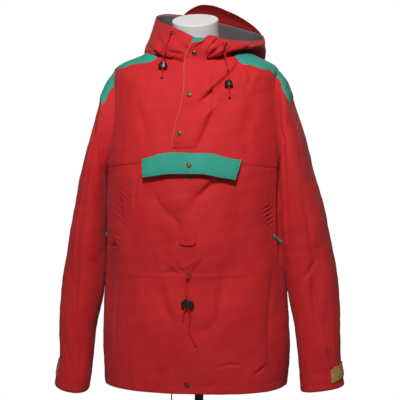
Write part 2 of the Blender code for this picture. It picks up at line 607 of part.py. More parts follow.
def make_sleeve(name, rows, side):
    """A sleeve's front and back, joined down the underarm and in front of the outer edge, and its head."""
    surface = sleeve_surface(rows, side)
    rings = np.concatenate((np.arange(0, 3, 0.5), rows.values[2:, 0]))
    seam, underarm = -SLEEVE_SEAM_COLUMN, len(ARMHOLE_TURNS) - 1
    for part, first, last in (("front", -underarm, seam), ("back", seam, underarm)):
        turns = sleeve_turns(rings, np.arange(first, last + 1))
        panel = partial(sleeve_cloth, surface, side, rings[:, None], turns)
        edges = ("first_row", "first_column", "last_column")
        cloth(f"{name}_{part}", panel, RED, edges=edges, flip=side > 0)
    rings = rings[rings <= HEAD_RING]
    turns = sleeve_turns(rings, np.arange(seam, -seam + 1))
    head = partial(sleeve_cloth, surface, side, rings[:, None], turns)
    name = name.replace("sleeve", "sleeve_head")
    cloth(name, head, GREEN, LAY_GAP + SHELL, edges=("first_row",), flip=side > 0)
    return surface


def make_hood():
    across = np.linspace(0, 1, HOOD_RINGS)
    for name, (first, last) in HOOD_PANELS.items():
        turns = np.linspace(first, last, round((last - first) / HOOD_STEP) + 1)
        edges = [e for e, at in (("first_column", first), ("last_column", last)) if at not in (0, 14)]
        cloth(name, partial(hood_cloth, turns[None, :], across[:, None]), RED, edges=edges)
        if last == 14:
            turns = turns[: 1 - FACING_COLUMNS]
        inside = partial(lining_grid, turns, across)
        edges = ("first_column", "last_column")
        cloth(name.replace("hood", "hood_lining"), inside, GREY, -SHELL - SEAM_GAP, LINING, edges)
    turns = np.linspace(14 - (FACING_COLUMNS - 1) * HOOD_STEP, 14, FACING_COLUMNS)
    facing = partial(lining_grid, turns, across)
    cloth("neck_facing", facing, GREEN, -SHELL - SEAM_GAP, LINING, ("first_column",))


def lining_grid(turns, across, lift):
    """The hood's own points, without its first ring and ending a little below its rim."""
    grid = hood_cloth(turns[None, :], across[1:, None], lift)
    grid[-1] = grid[-1] * 0.85 + grid[-2] * 0.15
    return grid


def make_peak():
    """The hood's stiff peak stands on the back of the rim."""
    first, last = PEAK.values[0, 0], PEAK.values[-1, 0]
    turns = np.linspace(first, last, round((last - first) / HOOD_STEP) + 1)
    foot = hood_cloth(turns, 1.0, -SHELL / 2)
    foot[:, 2] += SEAM_GAP * 2
    height = PEAK.at(turns).height[:, None]
    out = np.cross(np.gradient(foot, axis=0), PEAK_UP)
    out /= np.linalg.norm(out, axis=1, keepdims=True)

    def sheet(lift):
        return np.stack([foot + PEAK_UP * height * share + out * lift for share in (0, 0.5, 1)])

    cloth("hood_peak", sheet, RED, PEAK_WALL / 2, PEAK_WALL)


# ---------------------------------------------------------------- pieces on the front


class Skin:
    """Cloth as one mesh, to find where a piece that is placed by X and Z lies on it."""

    def __init__(self, points, faces):
        self.tree = BVHTree.FromPolygons(points, faces)

    @classmethod
    def of_grids(cls, grids):
        points, faces = [], []
        for grid in grids:
            rows, columns = grid.shape[:2]
            base = len(points)
            points += [Vector(p) for p in grid.reshape(-1, 3)]
            for i in range(rows - 1):
                for j in range(columns - 1):
                    a = base + i * columns + j
                    faces.append((a, a + 1, a + columns + 1, a + columns))
        return cls(points, faces)

    @classmethod
    def of_pieces(cls, names):
        """The same of pieces that are built."""
        graph = bpy.context.evaluated_depsgraph_get()
        points, faces = [], []
        for name in names:
            mesh = bpy.data.objects[name].evaluated_get(graph).to_mesh()
            base = len(points)
            points += [v.co.copy() for v in mesh.vertices]
            faces += [[base + i for i in face.vertices] for face in mesh.polygons]
        return cls(points, faces)

    def front(self, x, z, reach=0.0008):
        """(point, outward normal) of the outermost cloth within reach of x and a height above the hem."""
        hits = []
        for side, up in ((0, 0), (1, 0), (-1, 0), (0, 1), (0, -1)):
            start = Vector((x + side * reach, -1, HEM_HEIGHT + z + up * reach))
            hits.append(self.tree.ray_cast(start, Vector((0, 1, 0)))[:2])
        hits = [hit for hit in hits if hit[0]]
        if not hits:
            hits = [self.tree.find_nearest(Vector((x, -0.15, HEM_HEIGHT + z)))[:2]]
        normals = [normal * (-1 if normal.y > 0 else 1) for _, normal in hits]
        normal = np.mean(normals, axis=0)
        depth = min(place.y for place, _ in hits)
        return np.array((x, depth, HEM_HEIGHT + z)), normal / np.linalg.norm(normal)

    def grid(self, xs, zs, lifts, reach=0.0008):
        points = np.empty((*xs.shape, 3))
        for at in np.ndindex(*xs.shape):
            place, normal = self.front(xs[at], zs[at], reach)
            points[at] = place + normal * lifts[at]
        return points


def make_skin():
    """The front and the hood's two front ends, finer than they are built."""
    levels = np.linspace(0, 1, 161)
    front = body_grid(levels, np.linspace(0, 1, 121), -1)
    collars = []
    for first, last in ((0, 2), (12, 14)):
        collars.append(hood_cloth(np.linspace(first, last, 31)[None, :], np.linspace(0, 1, 41)[:, None]))
    return Skin.of_grids([front] + collars)


def make_flap(skin):
    shares = np.linspace(0, 1, FLAP_COLUMNS + 1)
    row = FLAP.at(shares)
    down = np.linspace(0, 1, FLAP_ROWS + 1)[:, None]
    xs = row.top_x + (row.bottom_x - row.top_x) * down
    zs = row.top_z + (row.bottom_z - row.top_z) * down
    lifts = FLAP_LIFT_TOP + (FLAP_LIFT_BOTTOM - FLAP_LIFT_TOP) * down**0.7 + 0 * xs
    cloth("pocket_flap", lambda lift: skin.grid(xs, zs, lifts + lift), GREEN, wall=SHELL * 1.25, flip=True)


def make_placket(skin):
    heights = np.linspace(PLACKET.values[0, 0], PLACKET.values[-1, 0], PLACKET_ROWS + 1)
    row = PLACKET.at(heights)
    share = np.linspace(0, 1, PLACKET_COLUMNS + 1)[None, :]
    xs = row.free_x[:, None] + (row.sewn_x - row.free_x)[:, None] * share
    zs = heights[:, None] + 0 * share
    lifts = LAY_GAP + SHELL + row.lift[:, None] * (1 - share) ** 2
    cloth("placket", lambda lift: skin.grid(xs, zs, lifts + lift, 0.006), RED)


def make_patch(skin):
    """The sewn badge, a plain rounded one, in the middle of the pouch."""
    share = np.linspace(-1, 1, 5)
    u, v = np.meshgrid(share, share)
    radius = (np.abs(u) ** 4 + np.abs(v) ** 4) ** 0.25
    scale = np.maximum(np.abs(u), np.abs(v)) / np.maximum(radius, 1e-9)
    xs = PATCH_X + u * scale * PATCH_WIDTH / 2
    zs = PATCH_Z + v * scale * PATCH_HEIGHT / 2
    cloth("badge", lambda lift: skin.grid(xs, zs, lift + 0 * xs), RED, LAY_GAP / 2 + SHELL)


def make_welts():
    """A strip round the mouth of each side pocket."""
    row = WELT.at(np.linspace(0, 1, 6))
    rows = np.array((-0.5, 0.5))[:, None] * WELT_WIDTH

    def welt(lift, side=1):
        return torso_cloth(np.radians(row.angle)[None, :], row.level[None, :] + rows, lift) * (side, 1, 1)

    cloth("pocket_welt_left", welt, GREEN, LAY_GAP + SHELL)
    cloth("pocket_welt_right", partial(welt, side=-1), GREEN, LAY_GAP + SHELL, flip=True)


def make_cuff_tab(name, surface, side):
    columns = CUFF_TAB.values[:, 0]
    rings = CUFF_TAB.at(columns).ring[None, :] + np.array((-0.5, 0.5))[:, None] * CUFF_TAB_WIDTH
    turns = np.broadcast_to(sleeve_turns([STRAIGHT_RING], columns), rings.shape)
    strap = partial(sleeve_cloth, surface, side, rings, turns)
    cloth(name, strap, TAN, LAY_GAP + SHELL, flip=side > 0)


# ---------------------------------------------------------------- turned pieces


def turned(name, profile, material, place=(0, 0, 0), axis=(0, 0, 1), out=(1, 0, 0), segments=12, widen=1.0):
    """Revolves (radius, height) points round an axis. A profile that stays off the axis makes a closed ring.

    Widen stretches it across both the axis and the direction out.
    """
    axis, out = Vector(axis).normalized(), Vector(out)
    across = out.cross(axis).normalized()
    frame = Matrix((across, axis.cross(across), axis)).transposed()
    angles = np.linspace(0, 2 * np.pi, segments, endpoint=False)
    points, rings = [], []
    for radius, height in profile:
        if radius == 0:
            rings.append([len(points)] * segments)
            points.append((0, 0, height))
        else:
            rings.append(list(range(len(points), len(points) + segments)))
            points += [(radius * np.cos(a) * widen, radius * np.sin(a), height) for a in angles]
    if profile[0][0]:
        rings.append(rings[0])
    faces = []
    for lower, upper in zip(rings, rings[1:]):
        for i in range(segments):
            k = (i + 1) % segments
            corners = (lower[i], lower[k], upper[k], upper[i])
            faces.append(list(dict.fromkeys(corners)))
    mesh = bpy.data.meshes.new(name)
    mesh.from_pydata([tuple(Vector(place) + frame @ Vector(point)) for point in points], [], faces)
    return link(bpy.data.objects.new(name, mesh), material)


def flat_on(name, profile, skin, at):
    """A small turned piece with its flat side on the cloth."""
    place, normal = skin.front(*at, 0.004)
    turned(name, profile, BRASS, place + normal * TRIM_GAP, normal, segments=10)


def make_trims():
    """Snaps, eyelets, cords and their locks, placed on the cloth below them."""
    skin = Skin.of_pieces([piece.name for piece in bpy.data.collections["anorak"].objects])
    snaps = {f"snap_placket_{i + 1}": at for i, at in enumerate(PLACKET_SNAPS)}
    snaps.update(snap_flap=FLAP_SNAP, snap_hem=HEM_SNAP)
    for name, at in snaps.items():
        flat_on(name, SNAP_PROFILE, skin, at)
    flat_on("stud_flap", STUD_PROFILE, skin, FLAP_STUD)
    eyelets = {f"eyelet_hood_{side}": at for side, at in HOOD_EYELETS.items()}
    eyelets["eyelet_waist"] = WAIST_EYELET
    wire = [np.radians(a) for a in range(0, 360, 60)]
    ring = [(EYELET_RADIUS + EYELET_WIRE * np.cos(a), EYELET_WIRE * (1 + np.sin(a))) for a in wire]
    for name, at in eyelets.items():
        flat_on(name, ring, skin, at)
    routes = {name: [lifted(skin, *point) for point in route] for name, route in CORDS.items()}
    locked = {name: stretch for names, stretch, _ in LOCKS.values() for name in names}
    for name, route in routes.items():
        make_cord(name, route, locked[name], name in KNOTTED)
    for name, (cords, stretch, widen) in LOCKS.items():
        top, bottom = (np.mean([routes[cord][i] for cord in cords], axis=0) for i in (stretch, stretch + 1))
        turned(name, LOCK_PROFILE, BLACK, (top + bottom) / 2, top - bottom, (0, -1, 0), widen=widen)
    front = torso(np.radians(-94), 0.0)
    make_cord("hem_cord", [(x, front[1] - 0.002, HEM_HEIGHT + z) for x, z in HEM_CORD])


def lifted(skin, x, z, lift):
    place, _ = skin.front(x, z)
    return place - (0, lift, 0)


def make_cord(name, route, straight=-1, knotted=False):
    """A tube along the smooth curve through the route's points. The stretch inside a lock stays straight."""
    route = np.array(route)
    lengths = np.linalg.norm(np.diff(route, axis=0), axis=1)
    along = np.concatenate(([0], np.cumsum(lengths)))
    ends = [0.0]
    for i, length in enumerate(lengths):
        pieces = 1 if i == straight else max(1, round(length / CORD_SPACING))
        ends += [along[i] + length * (k + 1) / pieces for k in range(pieces)]
    if knotted:
        tail = along[-1] - CORD_SPACING
        ends = [end for end in ends if end < tail - 0.002] + list(np.linspace(tail, along[-1], len(KNOT)))
    points = curve(along, route, ends)
    data = bpy.data.curves.new(name, "CURVE")
    data.dimensions = "3D"
    data.bevel_depth = CORD_RADIUS
    data.bevel_resolution = 2
    data.use_fill_caps = True
    line = data.splines.new("POLY")
    line.points.add(len(points) - 1)
    for point, place in zip(line.points, points):
        point.co = (*place, 1)
    if knotted:
        for point, swell in zip(line.points[-len(KNOT) :], KNOT):
            point.radius = swell
    link(bpy.data.objects.new(name, data), RED)


# ---------------------------------------------------------------- form and stand


def make_form():
    """Rings inside the garment, then a neck with a flat tilted top. Returns the height of its foot."""
    levels = np.linspace(FORM.values[0, 0], 1.0, FORM_RINGS)
    angles = np.linspace(0, 2 * np.pi, FORM_POINTS, endpoint=False)
    rings = []
    for level in levels:
        ring = torso(angles, level + 0 * angles)
        middle = np.array((0, BODY_Y, 0))
        out = (ring - middle) * (1, 1, 0)
        inset = FORM.at(level).inset
        rings.append(ring - out / np.linalg.norm(out, axis=1, keepdims=True) * inset)
    cosine, sine = np.cos(angles), np.sin(angles)
    foot, top = np.array(NECK_FOOT), np.array(NECK_TOP)
    for share in (0.0, 0.5, 0.97, 1.0):
        radius = NECK_RADIUS * (0.98 if share == 1.0 else 1.0)
        y, z = sine * radius * np.cos(NECK_TILT), sine * radius * np.sin(NECK_TILT)
        middle = foot + (top - foot) * share + (0, 0, HEM_HEIGHT)
        rings.append(np.stack((middle[0] + cosine * radius, middle[1] + y, middle[2] + z), axis=1))
    points = np.concatenate(rings).tolist()
    count = FORM_POINTS
    faces = [
        (i * count + j, i * count + (j + 1) % count, (i + 1) * count + (j + 1) % count, (i + 1) * count + j)
        for i in range(len(rings) - 1)
        for j in range(count)
    ]
    faces.append(tuple(range(count))[::-1])
    faces.append(tuple(range(len(points) - count, len(points))))
    mesh = bpy.data.meshes.new("form_torso")
    mesh.from_pydata(points, [], faces)
    link(bpy.data.objects.new("form_torso", mesh), WHITE)
    return rings[0][:, 2].min()


def make_stand(form_bottom):
    """The pole with its collar, and the round base plate."""
    foot, top = BASE_HEIGHT + POLE_GAP, form_bottom - POLE_GAP
    x, y = POLE_PLACE
    pole = (
        (0, foot), (COLLAR_RADIUS, foot), (COLLAR_RADIUS, COLLAR_TOP),
        (POLE_RADIUS, COLLAR_TOP + 0.002), (POLE_RADIUS, top), (0, top),
    )
    turned("stand_pole", pole, BLACK, (x, y, 0), segments=16)
    outer, upper = (BASE_RADIUS, BASE_HEIGHT - BASE_BEVEL), (BASE_RADIUS - BASE_BEVEL, BASE_HEIGHT)
    base = ((0, 0), (BASE_RADIUS, 0), outer, upper, (0, BASE_HEIGHT))
    turned("stand_base", base, BLACK, segments=40)


def main():
    clear_scene()
    new_collection("anorak")
    make_materials()
    levels, shares, seam = make_front()
    make_back(levels)
    make_pouch(levels, shares, seam)
    make_shoulder_panels(levels)
    make_welts()
    for name, rows, side in (("sleeve_left", LEFT_SLEEVE, 1), ("sleeve_right", RIGHT_SLEEVE, -1)):
        surface = make_sleeve(name, rows, side)
        make_cuff_tab(name.replace("sleeve", "cuff_tab"), surface, side)
    make_hood()
    make_peak()
    skin = make_skin()
    make_flap(skin)
    make_placket(skin)
    make_patch(Skin.of_pieces(["pouch_pocket"]))
    make_trims()
    make_stand(make_form())


main()
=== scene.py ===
import math
from functools import partial
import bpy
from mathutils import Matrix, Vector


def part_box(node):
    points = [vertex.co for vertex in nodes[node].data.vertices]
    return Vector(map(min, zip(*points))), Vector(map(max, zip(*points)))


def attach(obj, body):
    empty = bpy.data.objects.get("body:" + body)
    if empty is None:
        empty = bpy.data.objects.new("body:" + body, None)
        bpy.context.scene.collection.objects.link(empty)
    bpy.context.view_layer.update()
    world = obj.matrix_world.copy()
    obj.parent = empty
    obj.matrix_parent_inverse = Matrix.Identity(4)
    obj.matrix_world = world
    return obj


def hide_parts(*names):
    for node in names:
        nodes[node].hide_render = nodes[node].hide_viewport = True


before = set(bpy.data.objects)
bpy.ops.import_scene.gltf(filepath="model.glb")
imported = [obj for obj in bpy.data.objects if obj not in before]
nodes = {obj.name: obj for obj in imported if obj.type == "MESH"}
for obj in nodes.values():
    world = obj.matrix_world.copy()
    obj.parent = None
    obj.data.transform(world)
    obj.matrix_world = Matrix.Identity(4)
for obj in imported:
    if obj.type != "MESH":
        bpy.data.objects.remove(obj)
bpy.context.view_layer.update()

from types import SimpleNamespace

import bpy
import numpy as np
from mathutils import Matrix, Vector
from mathutils.bvhtree import BVHTree

print("frame loaded:", len(nodes), "nodes")

# camera, lights, floor

cameraSetup = {
    "place": (0.3992, -2.7840, 0.6930),
    "pitch": 86.3,  # degrees from straight down
    "turn": 8.0,
    "lens": 112.5,
    "sensor": 36.0,
}

lightSetup = {
    "key": {"place": (0.12, -1.56, 1.84), "aim": (0.0, 0.0, 0.66), "size": (0.34, 0.28), "power": 38.5},
    "rim": {"place": (0.3, 1.9, 1.8), "aim": (0.0, 0.0, 0.7), "size": (1.6, 1.2), "power": 7},
    "ambient": 0.115,  # how brightly the white room lights the cloth
    "backdrop": 1.0,
}


def putInScene(name, data, place, turn):
    made = bpy.data.objects.new(name, data)
    made.location, made.rotation_euler = place, turn
    bpy.context.scene.collection.objects.link(made)
    return made


def makeCamera(setup):
    data = bpy.data.cameras.new("camera")
    data.lens, data.sensor_width = setup["lens"], setup["sensor"]
    data.clip_start, data.clip_end = 0.1, 60
    turn = math.radians(setup["pitch"]), 0, math.radians(setup["turn"])
    bpy.context.scene.camera = putInScene("camera", data, setup["place"], turn)


def makeAreaLight(name, setup):
    data = bpy.data.lights.new(name, "AREA")
    data.shape = "RECTANGLE"
    data.size, data.size_y = setup["size"]
    data.energy = setup["power"]
    towards = Vector(setup["aim"]) - Vector(setup["place"])
    putInScene(name, data, setup["place"], towards.to_track_quat("-Z", "Y").to_euler())


makeCamera(cameraSetup)
makeAreaLight("keyLight", lightSetup["key"])
makeAreaLight("rimLight", lightSetup["rim"])
bpy.context.scene.view_settings.view_transform = "Standard"
print("camera and lights placed")

# shader maths


class Value:
    # wraps a shader socket, so that maths on it adds Math nodes
    def __init__(self, tree, socket=None):
        self.tree, self.socket = tree, socket

    def node(self, kind, settings=None, **values):
        made = self.tree.nodes.new(kind)
        for name, value in (settings or {}).items():
            setattr(made, name, value)
        for name, value in values.items():
            socket = made.inputs[int(name[1:]) if name[1:].isdigit() else name.replace("_", " ")]
            if isinstance(value, Value):
                self.tree.links.new(value.socket, socket)
            else:
                socket.default_value = value
        return made

    def read(self, kind, settings=None, output=0, **values):
        return Value(self.tree, self.node(kind, settings, **values).outputs[output])

    def maths(self, operation, *terms):
        return self.read("ShaderNodeMath", {"operation": operation}, **{f"i{i}": t for i, t in enumerate(terms)})

    def __add__(self, other): return self.maths("ADD", self, other)
    def __radd__(self, other): return self.maths("ADD", other, self)
    def __sub__(self, other): return self.maths("SUBTRACT", self, other)
    def __rsub__(self, other): return self.maths("SUBTRACT", other, self)
    def __mul__(self, other): return self.maths("MULTIPLY", self, other)
    def __rmul__(self, other): return self.maths("MULTIPLY", other, self)
    def __pow__(self, other): return self.maths("POWER", self, other)
    def sine(self): return self.maths("SINE", self)
    def least(self, other): return self.maths("MINIMUM", self, other)
    def most(self, other): return self.maths("MAXIMUM", self, other)

    def between(self, low, high):
        # 0 below low, 1 above high, smooth in between
        return self.read("ShaderNodeMapRange", {"interpolation_type": "SMOOTHSTEP"},
                         Value=self, From_Min=low, From_Max=high)

    def noise(self, scale, detail=2.0, roughness=0.5, distortion=0.0):
        return self.read("ShaderNodeTexNoise", None, Vector=self, Scale=scale, Detail=detail,
                         Roughness=roughness, Distortion=distortion)

    def blend(self, first, second):
        return self.read("ShaderNodeMix", {"data_type": "RGBA"}, 2, i0=self, i6=(*first, 1), i7=(*second, 1))

    def parts(self):
        made = self.node("ShaderNodeSeparateXYZ", None, Vector=self)
        return [Value(self.tree, made.outputs[i]) for i in range(3)]


class Finish:
    # a material being made, its place in metres on the object, and its place along the cloth's rows and columns
    def __init__(self, name, **constants):
        self.material = bpy.data.materials.new(name)
        self.material.use_nodes = True
        self.tree = self.material.node_tree
        self.shader = self.tree.nodes["Principled BSDF"]
        for key, value in constants.items():
            self.shader.inputs[key.replace("_", " ")].default_value = value
        self.start = Value(self.tree)
        self.place = self.start.read("ShaderNodeTexCoord", None, "Object")

    def alongCloth(self):
        return self.start.read("ShaderNodeUVMap", {"uv_map": "cloth"}).parts()[:2]

    def vary(self, name, value):
        self.tree.links.new(value.socket, self.shader.inputs[name])

    def colour(self, share, dark, light):
        self.vary("Base Color", share.blend(dark, light))

    def bump(self, height, distance):
        made = self.start.read("ShaderNodeBump", None, Height=height, Distance=distance, Strength=1.0)
        self.vary("Normal", made)


# plain weaves: the colours where the dye took least and most, and the threads' pitch in metres
weaves = {
    "red_cloth": {"light": (0.600, 0.015, 0.018), "dark": (0.490, 0.008, 0.012), "pitch": 0.00095},
    "green_cloth": {"light": (0.032, 0.330, 0.245), "dark": (0.018, 0.250, 0.182), "pitch": 0.00095},
}
fullTurn = 2 * math.pi


def makeWovenCloth(name, weave):
    cloth = Finish(name, Roughness=0.72, Sheen_Weight=0.05, Sheen_Roughness=0.5, Specular_IOR_Level=0.30)
    place, (across, along) = cloth.place, cloth.alongCloth()
    threads = (across * (fullTurn / weave["pitch"])).sine() * (along * (fullTurn / weave["pitch"])).sine()
    slub, patchy = place.noise(900, 2, 0.6), place.noise(55, 2, 0.6)
    wear = place.noise(14, 3, 0.55, 0.4).between(0.3, 0.72)
    # long streaks down the cloth where the yarn took more dye
    drawn = place.read("ShaderNodeVectorMath", {"operation": "MULTIPLY"}, i0=place, i1=(1.0, 1.0, 0.06))
    streaks = drawn.noise(130, 2, 0.6)
    share = (wear * 0.40 + patchy * 0.20 + streaks * 0.25 + slub * 0.15 + threads * 0.05).least(1.0)
    cloth.colour(share, weave["dark"], weave["light"])
    cloth.vary("Roughness", 0.66 + patchy * 0.14)
    cloth.bump(threads * 0.10 + slub * 0.12 + place.noise(95, 4, 0.55, 0.6), 0.0007)
    return cloth.material


def makeKnit(name):
    knit = Finish(name, Roughness=0.95, Sheen_Weight=0.25, Sheen_Roughness=0.6, Specular_IOR_Level=0.15)
    across, along = knit.alongCloth()
    rib = (across * (fullTurn / 0.0022)).sine() * (along * (fullTurn / 0.0017)).sine()
    fuzz, broad = knit.place.noise(420, 4, 0.7), knit.place.noise(26, 3, 0.6)
    share = (fuzz * 0.4 + broad * 0.5 + rib * 0.10).least(1.0)
    knit.colour(share, (0.058, 0.050, 0.054), (0.185, 0.165, 0.172))
    knit.bump(fuzz * 0.8 + rib * 0.3, 0.0008)
    return knit.material


def makeLeather(name):
    leather = Finish(name, Specular_IOR_Level=0.4)
    grain = {"Vector": leather.place, "Scale": 1100}
    pores = leather.start.read("ShaderNodeTexVoronoi", {"feature": "F1"}, "Distance", **grain)
    broad = leather.place.noise(60, 4, 0.6)
    leather.colour(broad, (0.330, 0.175, 0.042), (0.500, 0.300, 0.092))
    leather.vary("Roughness", 0.5 + broad * 0.25)
    leather.bump(pores * 0.6 + broad * 0.8, 0.0003)
    return leather.material


def makePlaster(name):
    plaster = Finish(name, Coat_Weight=0.08, Coat_Roughness=0.35)
    mottle, speck = plaster.place.noise(9, 3, 0.5), plaster.place.noise(240, 3, 0.6)
    plaster.colour(mottle * 0.7 + speck * 0.3, (0.640, 0.616, 0.606), (0.740, 0.722, 0.712))
    plaster.vary("Roughness", 0.36 + speck * 0.20)
    plaster.bump(speck * 0.4 + mottle, 0.0005)
    return plaster.material


def makeBrass(name):
    brass = Finish(name, Metallic=0.9)
    stain, rub = brass.place.noise(520, 4, 0.65), brass.place.noise(2400, 2, 0.5)
    brass.colour(stain.between(0.42, 0.70), (0.045, 0.027, 0.011), (0.320, 0.205, 0.095))
    brass.vary("Roughness", 0.26 + stain * 0.36)
    brass.bump(stain + rub * 0.4, 0.00012)
    return brass.material


def makePlastic(name):
    plastic = Finish(name, Coat_Weight=0.06, Coat_Roughness=0.15, Specular_IOR_Level=0.3)
    scuff = plastic.place.noise(700, 4, 0.6)
    plastic.colour(scuff, (0.006, 0.005, 0.005), (0.018, 0.015, 0.014))
    plastic.vary("Roughness", 0.22 + scuff * 0.24)
    plastic.bump(scuff, 0.00008)
    return plastic.material


def makePaintedSteel(name):
    paint = Finish(name, Coat_Weight=0.1, Coat_Roughness=0.4)
    worn = paint.place.noise(30, 4, 0.6).between(0.55, 0.8)
    paint.colour(worn, (0.012, 0.011, 0.011), (0.040, 0.038, 0.037))
    paint.vary("Roughness", 0.38 + worn * 0.2)
    paint.bump(paint.place.noise(380, 3, 0.5), 0.0002)
    return paint.material


def makeBraid(name, light, dark, pitch=0.0016):
    braid = Finish(name, Roughness=0.8, Specular_IOR_Level=0.12)
    around, along = braid.alongCloth()
    strands = 50.27  # eight round the cord, in radians to a turn
    rising = (around * strands + along * (fullTurn / pitch)).sine()
    falling = (around * strands - along * (fullTurn / pitch)).sine()
    plait = rising.most(falling)
    # the braid's colour follows its strands' height: darker in the grooves between the strands, which is painted
    # shade
    braid.colour(plait * 0.5 + 0.5, dark, light)
    braid.bump(plait, 0.00014)
    return braid.material


def makeThread(name, light, dark):
    thread = Finish(name, Sheen_Weight=0.1, Specular_IOR_Level=0.4)
    ply = thread.place.noise(1800, 2, 0.5)
    thread.colour(ply, dark, light)
    thread.vary("Roughness", 0.5 + ply * 0.2)
    return thread.material


finishes = {name: makeWovenCloth(name, weave) for name, weave in weaves.items()}
for name, make in (("grey_knit", makeKnit), ("tan_leather", makeLeather), ("white_form", makePlaster),
                   ("brass", makeBrass), ("black_plastic", makePlastic), ("black_metal", makePaintedSteel)):
    finishes[name] = make(name)
# the cord's darker red is painted shade, laid in the grooves between its strands
finishes["cord"] = makeBraid("cord", (0.620, 0.022, 0.030), (0.400, 0.014, 0.018))
# threads: light and dark colour, and the record's slot that they go with
threadColours = {
    "redThread": ((0.50, 0.030, 0.034), (0.34, 0.015, 0.018), "red_cloth"),
    "greenThread": ((0.060, 0.330, 0.240), (0.030, 0.200, 0.140), "green_cloth"),
    "greyThread": ((0.150, 0.135, 0.130), (0.080, 0.072, 0.070), "grey_knit"),
    "tanThread": ((0.300, 0.190, 0.075), (0.170, 0.095, 0.030), "tan_leather"),
    "edging": ((0.330, 0.240, 0.180), (0.200, 0.130, 0.095), "tan_leather"),
}
slotOf = {"cord": "red_cloth"}
for name, (light, dark, slot) in threadColours.items():
    finishes[name], slotOf[name] = makeThread(name, light, dark), slot
print("materials made:", len(finishes))

# room

# from clearFrom to clearTo, in metres from the middle, the floor turns into the backdrop
floorForm = {"radius": 9, "drop": 0.0008, "clearFrom": 0.15, "clearTo": 0.235}


def makeRoom(setup):
    world = bpy.data.worlds.new("room")
    bpy.context.scene.world = world
    world.use_nodes = True
    tree = world.node_tree
    background = tree.nodes["Background"]
    background.inputs["Color"].default_value = (1, 1, 1, 1)
    seen = Value(tree).read("ShaderNodeLightPath", None, "Is Camera Ray")
    strength = setup["ambient"] + seen * (setup["backdrop"] - setup["ambient"])
    tree.links.new(strength.socket, background.inputs["Strength"])


def makeFloor(setup, form):
    bpy.ops.object.select_all(action="DESELECT")
    bpy.ops.mesh.primitive_circle_add(vertices=96, radius=form["radius"], fill_type="NGON",
                                      location=(0, 0, -form["drop"]))
    floor = bpy.context.object
    floor.name = "floor"
    bpy.ops.object.transform_apply(location=True)
    pale = Finish("floor", Roughness=0.8)
    across, deep, _ = pale.place.parts()
    away = (across ** 2.0 + deep ** 2.0) ** 0.5
    seen = pale.start.read("ShaderNodeLightPath", None, "Is Camera Ray")
    pale.colour(seen, (0.40, 0.40, 0.40), (0.90, 0.90, 0.90))
    glow = pale.start.node("ShaderNodeEmission", None, Strength=setup["backdrop"])
    share = seen * away.between(form["clearFrom"], form["clearTo"])
    mixed = pale.start.node("ShaderNodeMixShader", None, i0=share)
    for made, socket in ((pale.shader, mixed.inputs[1]), (glow, mixed.inputs[2]),
                         (mixed, pale.tree.nodes["Material Output"].inputs["Surface"])):
        pale.tree.links.new(made.outputs[0], socket)
    floor.data.materials.append(pale.material)


makeRoom(lightSetup)
makeFloor(lightSetup, floorForm)
print("room and floor made")

# the garment's surfaces

hemHeight = 0.095
bodyY = -0.012
shellWall, liningWall = 0.0016, 0.0012
seamGap, layGap = 0.0006, 0.0012
chestSeamLevel, waistLevel = 0.6855, 0.36
underarmLevel, shoulderLevel = 0.665, 0.88
armholeMiddle = (underarmLevel + shoulderLevel) / 2
armholeHalf = (shoulderLevel - underarmLevel) / 2
armholeAngle = math.radians(23)
leftFrontShare = 0.72  # the left front's armhole edge lies further out
sleeveSquareness = 2.3
slitHalf, slitBottomLevel = 0.8 / 180, 0.725  # the neck's slit, as a share of the front's width


def smoothCurve(keys, values, where):
    slopes = np.gradient(values, keys, axis=0)
    where = np.asarray(where, float)
    i = np.clip(np.searchsorted(keys, where) - 1, 0, len(keys) - 2)
    step = keys[i + 1] - keys[i]
    u = (where - keys[i]) / step
    if values.ndim > 1:
        step, u = step[..., None], u[..., None]
    first = (1 + 2 * u) * (1 - u) ** 2 * values[i] + u * (1 - u) ** 2 * step * slopes[i]
    return first + u**2 * (3 - 2 * u) * values[i + 1] + u**2 * (u - 1) * step * slopes[i + 1]


def smoothRings(rings, where):
    slopes = np.gradient(rings, axis=0)
    i = np.clip(np.floor(where).astype(int), 0, len(rings) - 2)
    u = where - i
    pick = [np.take_along_axis(values, at[None, ..., None], axis=0)[0] for values in (rings, slopes)
            for at in (i, i + 1)]
    first, second, slopeA, slopeB = (np.moveaxis(p, -1, 0) for p in pick)
    start = (1 + 2 * u) * (1 - u) ** 2 * first + u * (1 - u) ** 2 * slopeA
    return np.moveaxis(start + u**2 * (3 - 2 * u) * second + u**2 * (u - 1) * slopeB, 0, -1)


class Rows:
    # a table of named columns against its first one, read along a smooth curve
    def __init__(self, columns, rows):
        self.names, self.values = columns.split(), np.array(rows, float)
        self.keys = self.values[:, 0]

    def at(self, where):
        read = {n: smoothCurve(self.keys, self.values[:, i], where) for i, n in enumerate(self.names)}
        return SimpleNamespace(**read)


